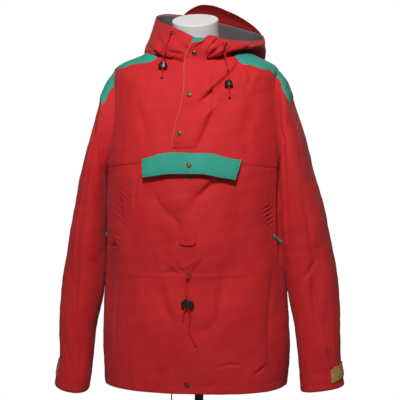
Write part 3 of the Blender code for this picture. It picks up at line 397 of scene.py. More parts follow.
body = Rows("level sideZ frontZ backZ halfWidth frontDepth backDepth squareness", (
    (0.00, 0.006, 0.0055, 0.000, 0.2060, 0.139, 0.136, 2.30),
    (0.10, 0.070, 0.066, 0.066, 0.2105, 0.143, 0.142, 2.30),
    (0.25, 0.176, 0.175, 0.175, 0.2080, 0.145, 0.141, 2.30),
    (0.36, 0.252, 0.254, 0.254, 0.2040, 0.140, 0.134, 2.30),
    (0.48, 0.334, 0.343, 0.343, 0.2025, 0.147, 0.135, 2.35),
    (0.60, 0.420, 0.432, 0.433, 0.2025, 0.150, 0.137, 2.40),
    (0.665, 0.470, 0.496, 0.496, 0.2020, 0.149, 0.137, 2.40),
    (0.72, 0.525, 0.535, 0.541, 0.2010, 0.145, 0.136, 2.40),
    (0.78, 0.591, 0.574, 0.585, 0.1975, 0.138, 0.132, 2.30),
    (0.84, 0.663, 0.615, 0.632, 0.1905, 0.127, 0.124, 2.20),
    (0.88, 0.706, 0.642, 0.664, 0.1825, 0.119, 0.116, 2.10),
    (0.92, 0.725, 0.668, 0.694, 0.1550, 0.110, 0.105, 2.05),
    (0.96, 0.742, 0.696, 0.724, 0.1150, 0.100, 0.090, 2.00),
    (1.00, 0.758, 0.721, 0.753, 0.0760, 0.088, 0.076, 2.00),
))

sleeveColumns = "ring outerX outerZ innerX innerZ centreY halfDepth frontDrop"
leftSleeve = Rows(sleeveColumns, (
    (1, 0.2035, 0.678, 0.1950, 0.458, -0.013, 0.080, 0.0),
    (2, 0.2225, 0.624, 0.1915, 0.452, -0.011, 0.088, 0.0),
    (3, 0.2430, 0.560, 0.1890, 0.440, -0.008, 0.093, 0.0),
    (4, 0.2620, 0.490, 0.1880, 0.410, -0.005, 0.092, 0.0),
    (5, 0.2850, 0.410, 0.1885, 0.360, -0.003, 0.087, 0.0),
    (6, 0.3050, 0.320, 0.1965, 0.290, -0.004, 0.079, 0.0),
    (7, 0.3180, 0.235, 0.2080, 0.215, -0.010, 0.070, 0.0),
    (8, 0.3250, 0.150, 0.2255, 0.135, -0.018, 0.061, 0.0),
    (9, 0.3280, 0.074, 0.2335, 0.062, -0.025, 0.053, 0.0),
    (10, 0.3300, 0.046, 0.2360, 0.033, -0.028, 0.049, 0.0),
    (11, 0.3350, 0.012, 0.2375, -0.003, -0.030, 0.048, 0.0),
))
rightSleeve = Rows(sleeveColumns, (
    (1, 0.2010, 0.674, 0.2000, 0.458, -0.013, 0.076, 0.0),
    (2, 0.2160, 0.622, 0.2000, 0.452, -0.011, 0.084, 0.0),
    (3, 0.2360, 0.560, 0.2000, 0.440, -0.008, 0.091, 0.0),
    (4, 0.2560, 0.490, 0.2010, 0.410, -0.005, 0.092, 0.0),
    (5, 0.2715, 0.410, 0.2025, 0.360, -0.003, 0.087, 0.0),
    (6, 0.2910, 0.320, 0.2070, 0.290, -0.004, 0.079, 0.0),
    (7, 0.3050, 0.235, 0.2135, 0.215, -0.010, 0.070, 0.0),
    (8, 0.3085, 0.150, 0.2270, 0.135, -0.018, 0.061, 0.002),
    (9, 0.3090, 0.070, 0.2355, 0.055, -0.025, 0.053, 0.004),
    (10, 0.3140, 0.040, 0.2370, 0.020, -0.028, 0.049, 0.006),
    (11, 0.3225, 0.001, 0.2425, -0.014, -0.030, 0.047, 0.008),
))

hoodRows = Rows("turn seamAngle foldX foldY foldZ bellyX bellyY bellyZ rimX rimY rimZ", (
    (0, -84, 0.017, -0.101, 0.734, 0.026, -0.103, 0.753, 0.038, -0.092, 0.779),
    (1, -65, 0.060, -0.102, 0.737, 0.067, -0.103, 0.751, 0.073, -0.080, 0.771),
    (2, -40, 0.102, -0.068, 0.748, 0.113, -0.060, 0.757, 0.110, -0.034, 0.770),
    (3, -10, 0.130, -0.008, 0.752, 0.142, -0.002, 0.762, 0.137, 0.026, 0.775),
    (4, 20, 0.139, 0.062, 0.742, 0.149, 0.072, 0.761, 0.144, 0.080, 0.784),
    (5, 50, 0.113, 0.130, 0.692, 0.135, 0.142, 0.738, 0.129, 0.118, 0.797),
    (6, 75, 0.060, 0.162, 0.650, 0.078, 0.190, 0.708, 0.083, 0.150, 0.812),
    (7, 95, 0.000, 0.170, 0.640, 0.000, 0.202, 0.704, 0.018, 0.165, 0.829),
    (8, 115, -0.058, 0.158, 0.650, -0.072, 0.182, 0.714, -0.050, 0.147, 0.842),
    (9, 145, -0.098, 0.116, 0.703, -0.110, 0.118, 0.752, -0.088, 0.098, 0.841),
    (10, 170, -0.112, 0.048, 0.754, -0.116, 0.050, 0.775, -0.101, 0.047, 0.831),
    (11, 195, -0.112, -0.020, 0.743, -0.113, -0.010, 0.758, -0.084, -0.004, 0.818),
    (12, 220, -0.085, -0.068, 0.741, -0.083, -0.066, 0.757, -0.056, -0.046, 0.805),
    (13, 245, -0.040, -0.099, 0.742, -0.039, -0.099, 0.757, -0.021, -0.079, 0.790),
    (14, 266, -0.003, -0.101, 0.735, 0.000, -0.101, 0.750, 0.006, -0.090, 0.776),
))
hoodAcross = (0.0, 0.38, 0.64, 1.0)  # neck seam, roll, widest place, rim

viewSize = 400  # pixels


def fromView(pixelX, pixelY, y):
    # the x, and the height above the hem, of what the camera sees there at the depth y, to 0.1 mm
    turn, focal = math.radians(cameraSetup["turn"]), viewSize * cameraSetup["lens"] / cameraSetup["sensor"]
    cameraX, cameraY, cameraZ = cameraSetup["place"]
    sine, cosine = math.sin(turn), math.cos(turn)
    distance = round(cameraX * sine - cameraY * cosine, 4)
    aside = round(cameraX * cosine + cameraY * sine, 4)
    slope = (pixelX - viewSize / 2) / focal
    x = (slope * (distance + y * cosine) + aside - y * sine) / (cosine + slope * sine)
    away = distance - x * sine + y * cosine
    fall = math.radians(90 - cameraSetup["pitch"]) + math.atan((pixelY - viewSize / 2) / focal)
    return round(x, 4), round(cameraZ - away * math.tan(fall) - hemHeight, 4)


def seenRows(rows):
    # points of three numbers are pixels of the camera's view and a depth
    return [[fromView(*part) if isinstance(part, tuple) and len(part) == 3 else part for part in row]
            for row in rows]


# creases: half width, depth (below 0 for a trough), lean, then points, each an x and a height above the hem in
# metres, or a place in the view with its depth. A lean makes one side of a crease stand up as the other sinks.
frontCreases = seenRows((
    (0.0036, -0.016, (280.5, 160, -0.05), (279.5, 185, -0.05), (279.5, 210, -0.05), (280.5, 238, -0.05),
     (281.5, 262, -0.05)),
    (0.003, -0.012, (0.189, 0.633), (280, 128, -0.07), (284.5, 143, -0.07), (286, 170, -0.07),
     (286.5, 200, -0.07), (287.5, 240, -0.07)),
    (0.016, -0.0045, 0.5, (0.088, 0.722), (0.062, 0.69), (0.038, 0.655)),
    (0.018, 0.0034, 0, (0.096, 0.69), (0.06, 0.64)),
    (0.005, -0.0048, 0.5, (0.088, 0.696), (225, 77, -0.13), (213, 86, -0.135), (207, 94, -0.14),
     (203, 99, -0.142)),
    (0.016, -0.0035, 0.3, (0.055, 0.61), (0.04, 0.572), (0.024, 0.535)),
    (0.004, -0.0024, 0.6, (212.9, 110.7, -0.148), (0.047, 0.592), (206.4, 125.7, -0.15), (198.6, 143.6, -0.152)),
    (0.015, -0.005, 0.6, (0.062, 0.47), (204, 188, -0.155), (197, 195, -0.155), (0.01, 0.405)),
    (0.006, -0.003, 0.3, (213.6, 180, -0.155), (0.044, 0.45), (0.034, 0.432)),
    (0.016, -0.0026, 0.5, (150, 185.7, -0.155), (155, 200, -0.156), (165, 214, -0.157), (176.4, 227, -0.158)),
    (0.007, -0.002, 0.5, (169, 213, -0.157), (-0.025, 0.384), (179, 227, -0.158)),
    (0.026, 0.0022, 0, (-0.01, 0.44), (-0.012, 0.4)),
    (0.012, -0.0022, 0.6, (-0.04, 0.35), (-0.048, 0.31), (-0.045, 0.276)),
    (0.012, -0.0038, -0.7, (162, 284, -0.15), (-0.047, 0.214), (168.6, 310, -0.15), (175.7, 321.4, -0.15)),
    (0.012, -0.0038, 0.7, (220.7, 264, -0.15), (221.4, 282.9, -0.15), (215.7, 318.6, -0.15), (208.6, 327, -0.15),
     (198.6, 330, -0.15)),
    (0.0045, -0.0022, 0.3, (0.011, 0.266), (195.7, 270, -0.152), (204, 258.6, -0.152)),
    (0.0045, -0.0018, 0.2, (-0.002, 0.266), (-0.016, 0.279), (-0.023, 0.296)),
    (0.005, -0.0018, 0.4, (-0.0551, 0.264), (-0.033, 0.27), (-0.012, 0.263)),
    (0.005, -0.0017, 0.8, (220.7, 367.9, -0.145), (230, 365, -0.145), (242.9, 366.4, -0.14)),
    (0.005, -0.0017, 0.8, (253.6, 377.9, -0.14), (0.154, 0.053), (265, 367.9, -0.13)),
    (0.004, -0.0022, 0.5, (116, 276, -0.12), (113, 300, -0.12), (112, 330, -0.12), (113, 350, -0.12)),
    (0.005, -0.003, -0.6, (271, 272, -0.12), (271.5, 300, -0.12), (271, 330, -0.12), (270, 365, -0.12)),
    (0.0035, -0.002, 0.5, (135.5, 173, -0.145), (134, 190, -0.147), (132, 205, -0.147)),
    (0.02, -0.0055, 0.3, (262, 293, -0.13), (268, 310, -0.12), (271, 330, -0.11), (273, 350, -0.11),
     (272, 373, -0.11)),
    (0.02, -0.005, -0.3, (-0.176, 0.33), (-0.18, 0.15)),
    (0.02, -0.0035, 0.2, (-0.145, 0.44), (-0.16, 0.36)),
    (0.022, 0.0024, 0, (0.03, 0.36), (0.045, 0.25)),
    (0.03, -0.0022, 0.4, (0.11, 0.45), (0.1, 0.33), (0.115, 0.22)),
    (0.028, 0.0022, 0, (-0.1, 0.33), (-0.09, 0.18)),
    (0.024, -0.0024, 0.3, (-0.115, 0.15), (-0.1, 0.05)),
    (0.024, 0.002, 0, (0.02, 0.11), (0.06, 0.03)),
    (0.02, -0.002, 0.4, (-0.02, 0.09), (-0.06, 0.03)),
    (0.012, -0.002, 0.5, (-0.12, 0.64), (-0.09, 0.56)),
    (0.014, -0.0022, 0.5, (0.135, 0.64), (0.12, 0.57), (0.128, 0.52)),
    (0.01, -0.0022, 0.5, (235, 58.3, -0.11), (232, 67, -0.12), (229, 76, -0.13)),
    (0.006, -0.0016, 0.5, (0.13, 0.7), (0.127, 0.682), (0.121, 0.66)),
    (0.006, -0.0014, 0.5, (0.152, 0.69), (0.15, 0.672)),
    (0.006, -0.0012, -0.5, (-0.13, 0.7), (-0.124, 0.685)),
    # the sleeves' fronts
    (0.017, -0.006, 0.3, (0.276, 0.33), (0.268, 0.19)),
    (0.017, -0.006, 0.3, (0.282, 0.18), (0.302, 0.105)),
    (0.016, -0.004, 0.4, (0.248, 0.56), (0.258, 0.48), (0.272, 0.38)),
    (0.009, -0.004, 0.6, (301, 190, -0.09), (308, 225, -0.09), (312.5, 257.5, -0.08)),
    (0.007, -0.0034, 0.8, (314, 262, -0.08), (309, 270, -0.08), (303, 278, -0.08)),
    (0.008, -0.0034, 0.6, (311, 277, -0.08), (315, 310, -0.08), (319, 330, -0.08)),
    (0.007, -0.0034, 0.6, (0.29, 0.096), (330, 355, -0.07), (337, 370, -0.07)),
    (0.016, -0.0045, 0.3, (-0.225, 0.56), (-0.245, 0.45), (-0.262, 0.33)),
    (0.0046, -0.0064, 0.3, (93.8, 144, -0.065), (86, 190, -0.065), (81, 225, -0.065), (78, 252, -0.065),
     (76, 285, -0.065), (75, 308, -0.065)),
    (0.004, -0.0024, 0.6, (-0.206, 0.318), (-0.214, 0.29), (-0.216, 0.27)),
    (0.018, -0.006, 0.3, (-0.276, 0.3), (-0.28, 0.17)),
    (0.016, -0.004, 0.3, (-0.25, 0.15), (-0.262, 0.02)),
    (0.008, -0.0022, 0.7, (-0.236, 0.29), (-0.222, 0.27), (-0.212, 0.262)),
    (0.008, -0.0024, 0.6, (61, 340, -0.08), (66, 360, -0.08), (70, 380, -0.08)),
    (0.007, -0.0022, 0.6, (-0.205, 0.56), (-0.214, 0.5), (-0.216, 0.43)),
    (0.007, -0.0018, 0.6, (-0.262, 0.12), (-0.268, 0.06)),
    (0.007, -0.0018, -0.6, (-0.244, 0.09), (-0.25, 0.03)),
))
backCreases = (
    (0.04, -0.004, 0, (0, 0.6), (0.004, 0.3), (0, 0.06)),
    (0.022, -0.006, 0.5, (-0.06, 0.56), (-0.1, 0.48), (-0.15, 0.38)),
    (0.022, -0.006, -0.5, (0.06, 0.56), (0.11, 0.48), (0.15, 0.4)),
    (0.007, -0.0026, 0.6, (-0.078, 0.52), (-0.105, 0.47), (-0.15, 0.41)),
    (0.007, -0.0024, -0.6, (0.082, 0.53), (0.118, 0.474), (0.14, 0.43)),
    (0.022, -0.0055, 0.4, (-0.085, 0.235), (-0.095, 0.06)),
    (0.022, -0.0055, -0.4, (0.09, 0.24), (0.085, 0.04)),
    (0.018, 0.0045, 0, (0.15, 0.2), (0.145, 0.08)),
    (0.008, -0.003, 0.6, (-0.03, 0.25), (-0.038, 0.2), (-0.03, 0.13)),
    (0.008, -0.0028, -0.6, (0.034, 0.246), (0.04, 0.21), (0.052, 0.15)),
    (0.006, -0.0024, 0.7, (0.11, 0.3), (0.09, 0.285), (0.06, 0.275)),
    (0.006, -0.0024, 0.7, (-0.12, 0.31), (-0.09, 0.29), (-0.062, 0.274)),
    (0.007, -0.0026, 0.8, (-0.12, 0.06), (-0.09, 0.074), (-0.06, 0.07)),
    (0.01, -0.003, 0.5, (0.15, 0.62), (0.13, 0.56), (0.125, 0.5)),
    (0.01, -0.003, -0.5, (-0.152, 0.62), (-0.136, 0.57), (-0.13, 0.51)),
    (0.018, -0.006, 0.3, (0.235, 0.54), (0.255, 0.44), (0.275, 0.33)),
    (0.018, -0.006, 0.3, (-0.232, 0.54), (-0.25, 0.43), (-0.268, 0.33)),
    (0.017, -0.0055, 0.3, (0.29, 0.25), (0.28, 0.1)),
    (0.017, -0.0055, 0.3, (-0.285, 0.25), (-0.272, 0.11)),
    (0.008, -0.0036, 0.8, (0.225, 0.3), (0.25, 0.285), (0.285, 0.29)),
    (0.008, -0.0034, 0.8, (0.228, 0.27), (0.25, 0.262), (0.272, 0.25)),
    (0.008, -0.0036, 0.8, (-0.222, 0.305), (-0.246, 0.29), (-0.278, 0.296)),
    (0.008, -0.0032, 0.8, (-0.226, 0.262), (-0.248, 0.256), (-0.268, 0.246)),
    (0.009, -0.0034, 0.6, (0.214, 0.6), (0.228, 0.52), (0.232, 0.43)),
    (0.009, -0.0034, 0.6, (-0.214, 0.59), (-0.226, 0.51), (-0.232, 0.44)),
)
# sharp folds: how far they reach, height, then points
frontLedges = seenRows((
    (0.017, -0.015, (236, 58, -0.12), (232, 69, -0.12), (225, 76, -0.12), (214, 87, -0.12), (203, 99, -0.12)),
    (0.009, 0.003, (201, 62, -0.11), (208, 63, -0.11), (216, 66.5, -0.11)),
    (0.01, 0.0026, (214, 76, -0.11), (220, 71, -0.11), (228, 69, -0.11)),
    (0.008, -0.0036, (237, 67, -0.11), (239, 73, -0.11), (240, 79, -0.11)),
    (0.008, -0.003, (244, 70, -0.11), (247, 75, -0.11), (250, 82, -0.11)),
    (0.01, -0.004, (216, 108, -0.125), (208, 117, -0.125), (203, 127, -0.125)),
    (0.014, -0.0056, (212, 180, -0.155), (205, 187, -0.155), (197, 195, -0.155)),
    (0.012, 0.003, (153, 186, -0.155), (160, 200, -0.155), (171, 216, -0.155)),
    (0.008, 0.0028, (164, 259, -0.155), (168, 265, -0.155), (173, 269, -0.155)),
    (0.007, 0.0026, (180, 270, -0.155), (188, 267, -0.155), (197, 261, -0.155)),
    (0.005, 0.0014, (109, 274.5, -0.15), (130, 276.5, -0.15), (170, 277, -0.15), (197, 277, -0.15),
     (222, 278, -0.15), (250, 276, -0.15), (270, 272, -0.15)),
    (0.007, -0.0026, (136, 173, -0.145), (134, 190, -0.145), (131.5, 207, -0.145)),
    (0.02, -0.0014, (271, 272, -0.115), (271.5, 300, -0.115), (271, 330, -0.115), (270, 362, -0.115)),
    (0.006, -0.002, (116, 277, -0.115), (113.5, 300, -0.115), (112.5, 330, -0.115), (113.5, 350, -0.115)),
    (0.008, 0.0026, (221, 366, -0.15), (230, 364.5, -0.15), (240, 366, -0.15)),
    (0.008, 0.0032, (253, 377, -0.14), (259, 371, -0.14), (266, 366, -0.14)),
    (0.007, -0.008, (98, 106, -0.065), (93.8, 144, -0.065), (86, 190, -0.065), (81, 225, -0.065),
     (78, 252, -0.065), (76, 285, -0.065), (75, 308, -0.065)),
    (0.014, -0.003, (307, 235, -0.085), (310, 258, -0.085), (311, 280, -0.085), (312, 308, -0.085)),
    (0.016, -0.002, (322, 308, -0.075), (326, 332, -0.075), (329, 350, -0.075), (329, 362, -0.075)),
    (0.01, 0.0018, (93, 252, -0.085), (99, 250, -0.085), (105, 253, -0.085)),
    (0.008, -0.0045, (207, 39, -0.105), (200, 43, -0.105), (193, 48, -0.105), (190.5, 53, -0.105)),
))
# small gathers where the pockets' elastic pulls the cloth in: middle in x and height, half width,
# length, count and slant
frontPuckers = (
    (-0.1465, 0.412, 0.014, 0.078, 6, 0.4), (-0.164, 0.33, 0.011, 0.044, 4, 0.35),
    (0.17, 0.392, 0.011, 0.056, 5, -0.4), (0.178, 0.262, 0.012, 0.022, 3, -0.5),
)
puckerHeight = 0.0021


def nearestOn(points, x, z):
    # for each place: how far the line is, on which side, and the share along it
    steps = np.diff(points, axis=0)
    lengths = np.hypot(*steps.T)
    before = np.concatenate(([0], np.cumsum(lengths)))
    best, side, along = np.full(x.shape, np.inf), np.zeros(x.shape), np.zeros(x.shape)
    for (ax, az), (dx, dz), length, start in zip(points, steps, lengths, before):
        share = np.clip(((x - ax) * dx + (z - az) * dz) / length**2, 0, 1)
        offX, offZ = x - ax - share * dx, z - az - share * dz
        away = np.hypot(offX, offZ)
        closer = away < best
        best = np.where(closer, away, best)
        side = np.where(closer, np.sign(dx * offZ - dz * offX), side)
        along = np.where(closer, (start + share * length) / before[-1], along)
    return best, side, along


def creaseProfile(s, side, best, lean):
    return np.exp(-(s**2)) * (1 + lean * 1.6 * side * s)


def ledgeProfile(s, side, best, lean):
    return (0.5 * side * np.minimum(best / 0.0014, 1) + 0.4 * lean) * np.exp(-s)


def creaseShift(creases, x, z, profile=creaseProfile):
    shift = np.zeros(x.shape)
    for width, depth, *points in creases:
        lean = 0.0 if isinstance(points[0], tuple) else points.pop(0)
        points = np.array(points)
        low, high = points.min(0) - 4 * width, points.max(0) + 4 * width
        near = (x > low[0]) & (x < high[0]) & (z > low[1]) & (z < high[1])
        if near.any():
            best, side, along = nearestOn(points, x[near], z[near])
            fade = 0.25 + 0.75 * np.sin(np.pi * along) ** 0.7
            shift[near] += depth * fade * profile(best / width, side, best, lean)
    return shift


def ledgeShift(ledges, x, z):
    # a ledge: the cloth on a line's left hand stands up (below 0: on its right), and eases off both ways
    leaning = ((width, height, math.copysign(1, height), *points) for width, height, *points in ledges)
    return creaseShift(leaning, x, z, ledgeProfile)


def puckerShift(puckers, x, z):
    shift = np.zeros(x.shape)
    for middleX, middleZ, halfWidth, length, count, slant in puckers:
        u, v = (x - middleX) / halfWidth, (z - middleZ) / (length / 2)
        inside = np.exp(-(u**2) * 1.1 - v**6)
        wave = np.sin(math.pi * count * (v + slant * u) + 1.3 * np.sin(2.1 * v + 3 * u))
        shift += puckerHeight * inside * (wave + 0.1)
    return shift


crumpleWaves = (  # length and depth
    (0.150, 0.00110), (0.105, 0.00085), (0.070, 0.00060), (0.046, 0.00042), (0.034, 0.00030), (0.026, 0.00022),
    (0.019, 0.00014),
)
crumpleShare = 0.6
facingGain = 1.6  # how soon cloth that turns to the front or the back takes up its creases
deepest = 0.008  # crossing creases stay off the form


def crumpleShift(points):
    # slight unevenness everywhere, the same for cloth that lies on other cloth
    draw = np.random.default_rng(7)
    x, y, z = (points[..., i] for i in range(3))
    shift = np.zeros(x.shape)
    for wavelength, depth in crumpleWaves:
        for _ in range(2):
            way = draw.normal(size=3) * (1.0, 1.0, 0.55)
            way *= 2 * math.pi / wavelength / np.linalg.norm(way)
            turn, bend = draw.uniform(0, 6.28, 2)
            phase = way[0] * x + way[1] * y + way[2] * z + turn
            shift += depth * np.sin(phase + 0.9 * np.sin(phase * 0.37 + bend))
    return shift * crumpleShare


def withCreases(points, normals):
    x, z = points[..., 0], points[..., 2] - hemHeight
    facingFront, facingBack = (np.clip(way * facingGain * normals[..., 1], 0, 1) for way in (-1, 1))
    front = creaseShift(frontCreases, x, z) + ledgeShift(frontLedges, x, z) + puckerShift(frontPuckers, x, z)
    shift = facingFront * front + facingBack * creaseShift(backCreases, x, z)
    shift = np.where(shift < -deepest, -deepest + 0.5 * (shift + deepest), shift)
    shift = shift + crumpleShift(points)
    return points + normals * shift[..., None]


def normalsOf(surface, u, v, outwards):
    small = 1e-3
    alongU = surface(u + small, v) - surface(u - small, v)
    alongV = surface(u, v + small) - surface(u, v - small)
    normals = outwards * np.cross(alongU, alongV)
    return normals / np.maximum(np.linalg.norm(normals, axis=-1, keepdims=True), 1e-12)


# how far the sleeves press the sides in, by level
pressed = Rows("level left right", (
    (0.00, 0.000, 0.000), (0.25, 0.000, 0.000), (0.36, 0.002, 0.001), (0.48, 0.012, 0.003), (0.60, 0.014, 0.005),
    (0.72, 0.009, 0.006), (0.80, 0.004, 0.003), (0.88, 0.000, 0.000), (1.00, 0.000, 0.000),
))


def bodyPoint(angle, level):
    row = body.at(level)
    cosine, sine = np.cos(angle), np.sin(angle)
    depth = np.where(sine < 0, row.frontDepth, row.backDepth)
    power = row.squareness
    radius = (np.abs(cosine / row.halfWidth) ** power + np.abs(sine / depth) ** power) ** (-1 / power)
    endZ = np.where(sine < 0, row.frontZ, row.backZ)
    height = row.sideZ + (endZ - row.sideZ) * sine**2
    sides = pressed.at(level)
    inFront = np.where(cosine > 0, np.clip(-0.15 - 3 * sine, 0, 1), 1)  # behind the left sleeve it bulges again
    radius = radius - inFront * np.where(cosine > 0, sides.left, sides.right) * np.abs(cosine) ** 3
    return np.stack((radius * cosine, bodyY + radius * sine, hemHeight + height), axis=-1)


def bodyCloth(angle, level, lift=0.0):
    angle, level = np.broadcast_arrays(angle, level)
    points, normals = bodyPoint(angle, level), normalsOf(bodyPoint, angle, level, 1)
    return withCreases(points, normals) + normals * lift


def sleevePoint(rows, side, ring, turn):
    ring, turn = np.broadcast_arrays(np.asarray(ring, float), turn)
    power = sleeveSquareness
    radius = (np.abs(np.cos(turn)) ** power + np.abs(np.sin(turn)) ** power) ** (-1 / power)
    across, deep = radius * np.cos(turn), radius * np.sin(turn)
    rings = [armholeEdge(turn, side)]
    for row in (rows.at(key) for key in rows.keys):
        x = (row.outerX + row.innerX) / 2 + across * (row.outerX - row.innerX) / 2
        z = (row.outerZ + row.innerZ) / 2 + across * (row.outerZ - row.innerZ) / 2 + deep * row.frontDrop
        rings.append(np.stack((side * x, row.centreY + deep * row.halfDepth, hemHeight + z), axis=-1))
    return smoothRings(np.stack(rings), ring)


def armholePlace(turn, side):
    level = armholeMiddle + armholeHalf * np.cos(turn)
    angle = armholeAngle * np.sin(turn)
    if side > 0:
        angle = np.where(angle < 0, angle * leftFrontShare, angle)
    return angle if side > 0 else np.pi - angle, level


def armholeEdge(turn, side):
    # the edge on the side at +X or, mirrored, at -X
    return bodyCloth(*armholePlace(turn, side))


ownFrom = 0.30  # the ring from which a sleeve's cloth faces its own way


def sleeveCloth(rows, side, ring, turn, lift=0.0):
    ring, turn = np.broadcast_arrays(np.asarray(ring, float), turn)
    surface = partial(sleevePoint, rows, side)
    points = surface(ring, turn)
    normals = normalsOf(surface, np.clip(ring, 0.02, None), turn, side)
    # beside the armhole its cloth faces as the body's does, so that their edges meet
    atBody = normalsOf(bodyPoint, *armholePlace(turn, side), 1)
    own = np.clip(ring / ownFrom, 0, 1)[..., None]
    normals = normals * own**1.5 + atBody * (1 - own**1.5)
    normals /= np.linalg.norm(normals, axis=-1, keepdims=True)
    creased = withCreases(points, normals)
    return points + (creased - points) * np.clip(ring, 0, 1)[..., None] + normals * lift


neckTuck = {"inwards": 0.035, "down": 0.0030}  # the hood's edge is turned in behind the neck's


def hoodPoint(turn, across):
    row = hoodRows.at(turn)
    seam = bodyPoint(np.radians(row.seamAngle), 1.0 + 0.0 * turn)
    seam[..., :2] -= neckTuck["inwards"] * (seam[..., :2] - (0, bodyY))
    seam[..., 2] -= neckTuck["down"]
    fold = np.stack((row.foldX, row.foldY, hemHeight + row.foldZ), axis=-1)
    belly = np.stack((row.bellyX, row.bellyY, hemHeight + row.bellyZ), axis=-1)
    rim = np.stack((row.rimX, row.rimY, hemHeight + row.rimZ), axis=-1)
    ring = smoothCurve(np.array(hoodAcross), np.arange(4.0), across)
    return smoothRings(np.stack((seam, fold, belly, rim)), ring)


# creases of the hood: half width, depth, lean, then points in turns round it and shares across it
hoodCreases = (
    (0.01, -0.003, 0.5, (1.05, 0.8), (0.72, 0.55), (0.6, 0.4)),
    (0.012, -0.0034, 0.5, (2.2, 0.45), (2.6, 0.75), (3.1, 0.92)),
    (0.014, -0.004, -0.4, (3.6, 0.25), (3.9, 0.6), (4.4, 0.9)),
    (0.013, -0.004, 0.4, (5, 0.15), (5.3, 0.55), (5.2, 0.92)),
    (0.014, -0.0036, 0.4, (6.9, 0.3), (7.1, 0.75)),
    (0.012, -0.0036, -0.4, (8.6, 0.2), (8.5, 0.6), (8.9, 0.9)),
    (0.012, -0.0034, 0.5, (10.2, 0.25), (10.5, 0.7), (10.2, 0.95)),
    (0.01, -0.0026, -0.5, (11.4, 0.35), (11.9, 0.75)),
    (0.009, -0.0022, 0.5, (12.4, 0.3), (12.9, 0.55), (13.3, 0.6)),
)
turnLength, acrossLength = 0.062, 0.150  # metres to a turn and across the hood, for its creases
# creases of its front, by x and height above the hem
hoodFrontCreases = seenRows((
    (0.004, -0.007, 0.6, (0.064, 0.7545), (214, 50, -0.105), (209, 55, -0.105)),
    (0.009, 0.003, 0, (0.05, 0.764), (0.033, 0.748)),
    (0.005, -0.005, 0.6, (0.104, 0.75), (0.1235, 0.7515), (255, 50, -0.06)),
    (0.005, -0.004, 0.6, (0.124, 0.744), (256, 55, -0.055), (263, 58, -0.04)),
    (0.0055, -0.0038, -0.6, (222, 42, -0.1), (226, 46, -0.1), (230, 51, -0.095)),
    (0.006, 0.003, 0, (0.06, 0.76), (0.064, 0.748), (0.056, 0.74)),
    (0.007, 0.0032, 0, (0.095, 0.766), (0.11, 0.758), (0.126, 0.756)),
    (0.0045, -0.0052, 0.6, (-0.112, 0.7549), (150, 49, -0.06), (155, 52.4, -0.075), (-0.072, 0.742)),
    (0.006, -0.0034, 0.5, (157, 40, -0.08), (160, 45, -0.08), (163, 50, -0.085)),
    (0.006, -0.0034, 0.5, (178, 44, -0.1), (184, 49, -0.1), (190, 53, -0.1)),
    (0.005, -0.003, 0.6, (166, 52, -0.09), (176, 54, -0.1), (184, 55, -0.1)),
    (0.008, 0.003, 0, (-0.09, 0.79), (-0.086, 0.77), (-0.07, 0.756)),
    (0.006, -0.0026, 0.5, (-0.095, 0.796), (-0.088, 0.782), (-0.09, 0.768)),
))
hoodLedges = seenRows((
    (0.01, -0.007, (218.5, 47, -0.105), (214, 50, -0.105), (208.5, 55.5, -0.105)),
    (0.008, 0.0056, (238, 49, -0.08), (246, 47.5, -0.08), (255, 50.5, -0.06)),
    (0.008, 0.0048, (249, 52, -0.045), (256, 55, -0.045), (263, 57.5, -0.02)),
    (0.01, -0.0036, (228, 42, -0.1), (229, 47, -0.1), (226, 52, -0.1)),
    (0.008, 0.007, (144.5, 53, -0.01), (149, 50.8, -0.03), (157, 51.5, -0.06), (164, 55.5, -0.08),
     (172, 57, -0.08), (177, 55.5, -0.08)),
    (0.008, 0.0056, (216, 56.5, -0.09), (221, 52, -0.09), (226, 48.6, -0.09), (231, 46, -0.09)),
    (0.007, 0.0056, (238, 51, -0.07), (244, 54.5, -0.07), (250, 52.5, -0.05), (262, 56.5, -0.02)),
    (0.01, -0.0034, (154, 24, -0.065), (152, 32, -0.065), (153, 42, -0.065)),
    (0.01, 0.0036, (186, 45, -0.1), (190, 48, -0.1), (193, 52, -0.1)),
    (0.01, 0.003, (155, 36, -0.085), (162, 40, -0.085), (168, 47, -0.085)),
    (0.01, -0.003, (176, 30, -0.1), (180, 38, -0.1), (186, 44, -0.1)),
))


def hoodCloth(turn, across, lift=0.0):
    turn, across = np.broadcast_arrays(np.asarray(turn, float), across)
    points, normals = hoodPoint(turn, across), normalsOf(hoodPoint, turn, np.clip(across, 0.01, 1), 1)
    scaled = [(w, d, lean, *[(t * turnLength, a * acrossLength) for t, a in path])
              for w, d, lean, *path in hoodCreases]
    shift = creaseShift(scaled, turn * turnLength, across * acrossLength) + crumpleShift(points)
    x, z = points[..., 0], points[..., 2] - hemHeight
    front = creaseShift(hoodFrontCreases, x, z) + ledgeShift(hoodLedges, x, z)
    shift = shift + np.clip(-facingGain * normals[..., 1], 0, 1) * front
    ease = np.clip(across / 0.12, 0, 1)
    return points + normals * (shift * ease)[..., None] + normals * lift


# cloth pieces

sheets = {}  # each panel's outer grid, normals, distances and finish, for its sewing
everyEdge = ("firstRow", "lastRow", "firstColumn", "lastColumn")
besideSeam = np.array((0.0012, 0.0030, 0.0050))  # where rows lie close to an edge


def spacedValues(start, end, length, step, first=True, last=True):
    # evenly spaced values, with closer ones beside a sewn edge
    values = np.linspace(start, end, max(2, round(length / step)) + 1)
    close = besideSeam / length * (end - start)
    extra = ([start + close] if first else []) + ([end - close] if last else [])
    for group in extra:
        values = np.array([v for v in values if np.abs(group - v).min() > abs(close[0]) or v in (start, end)])
    return np.unique(np.concatenate([values, *extra]))


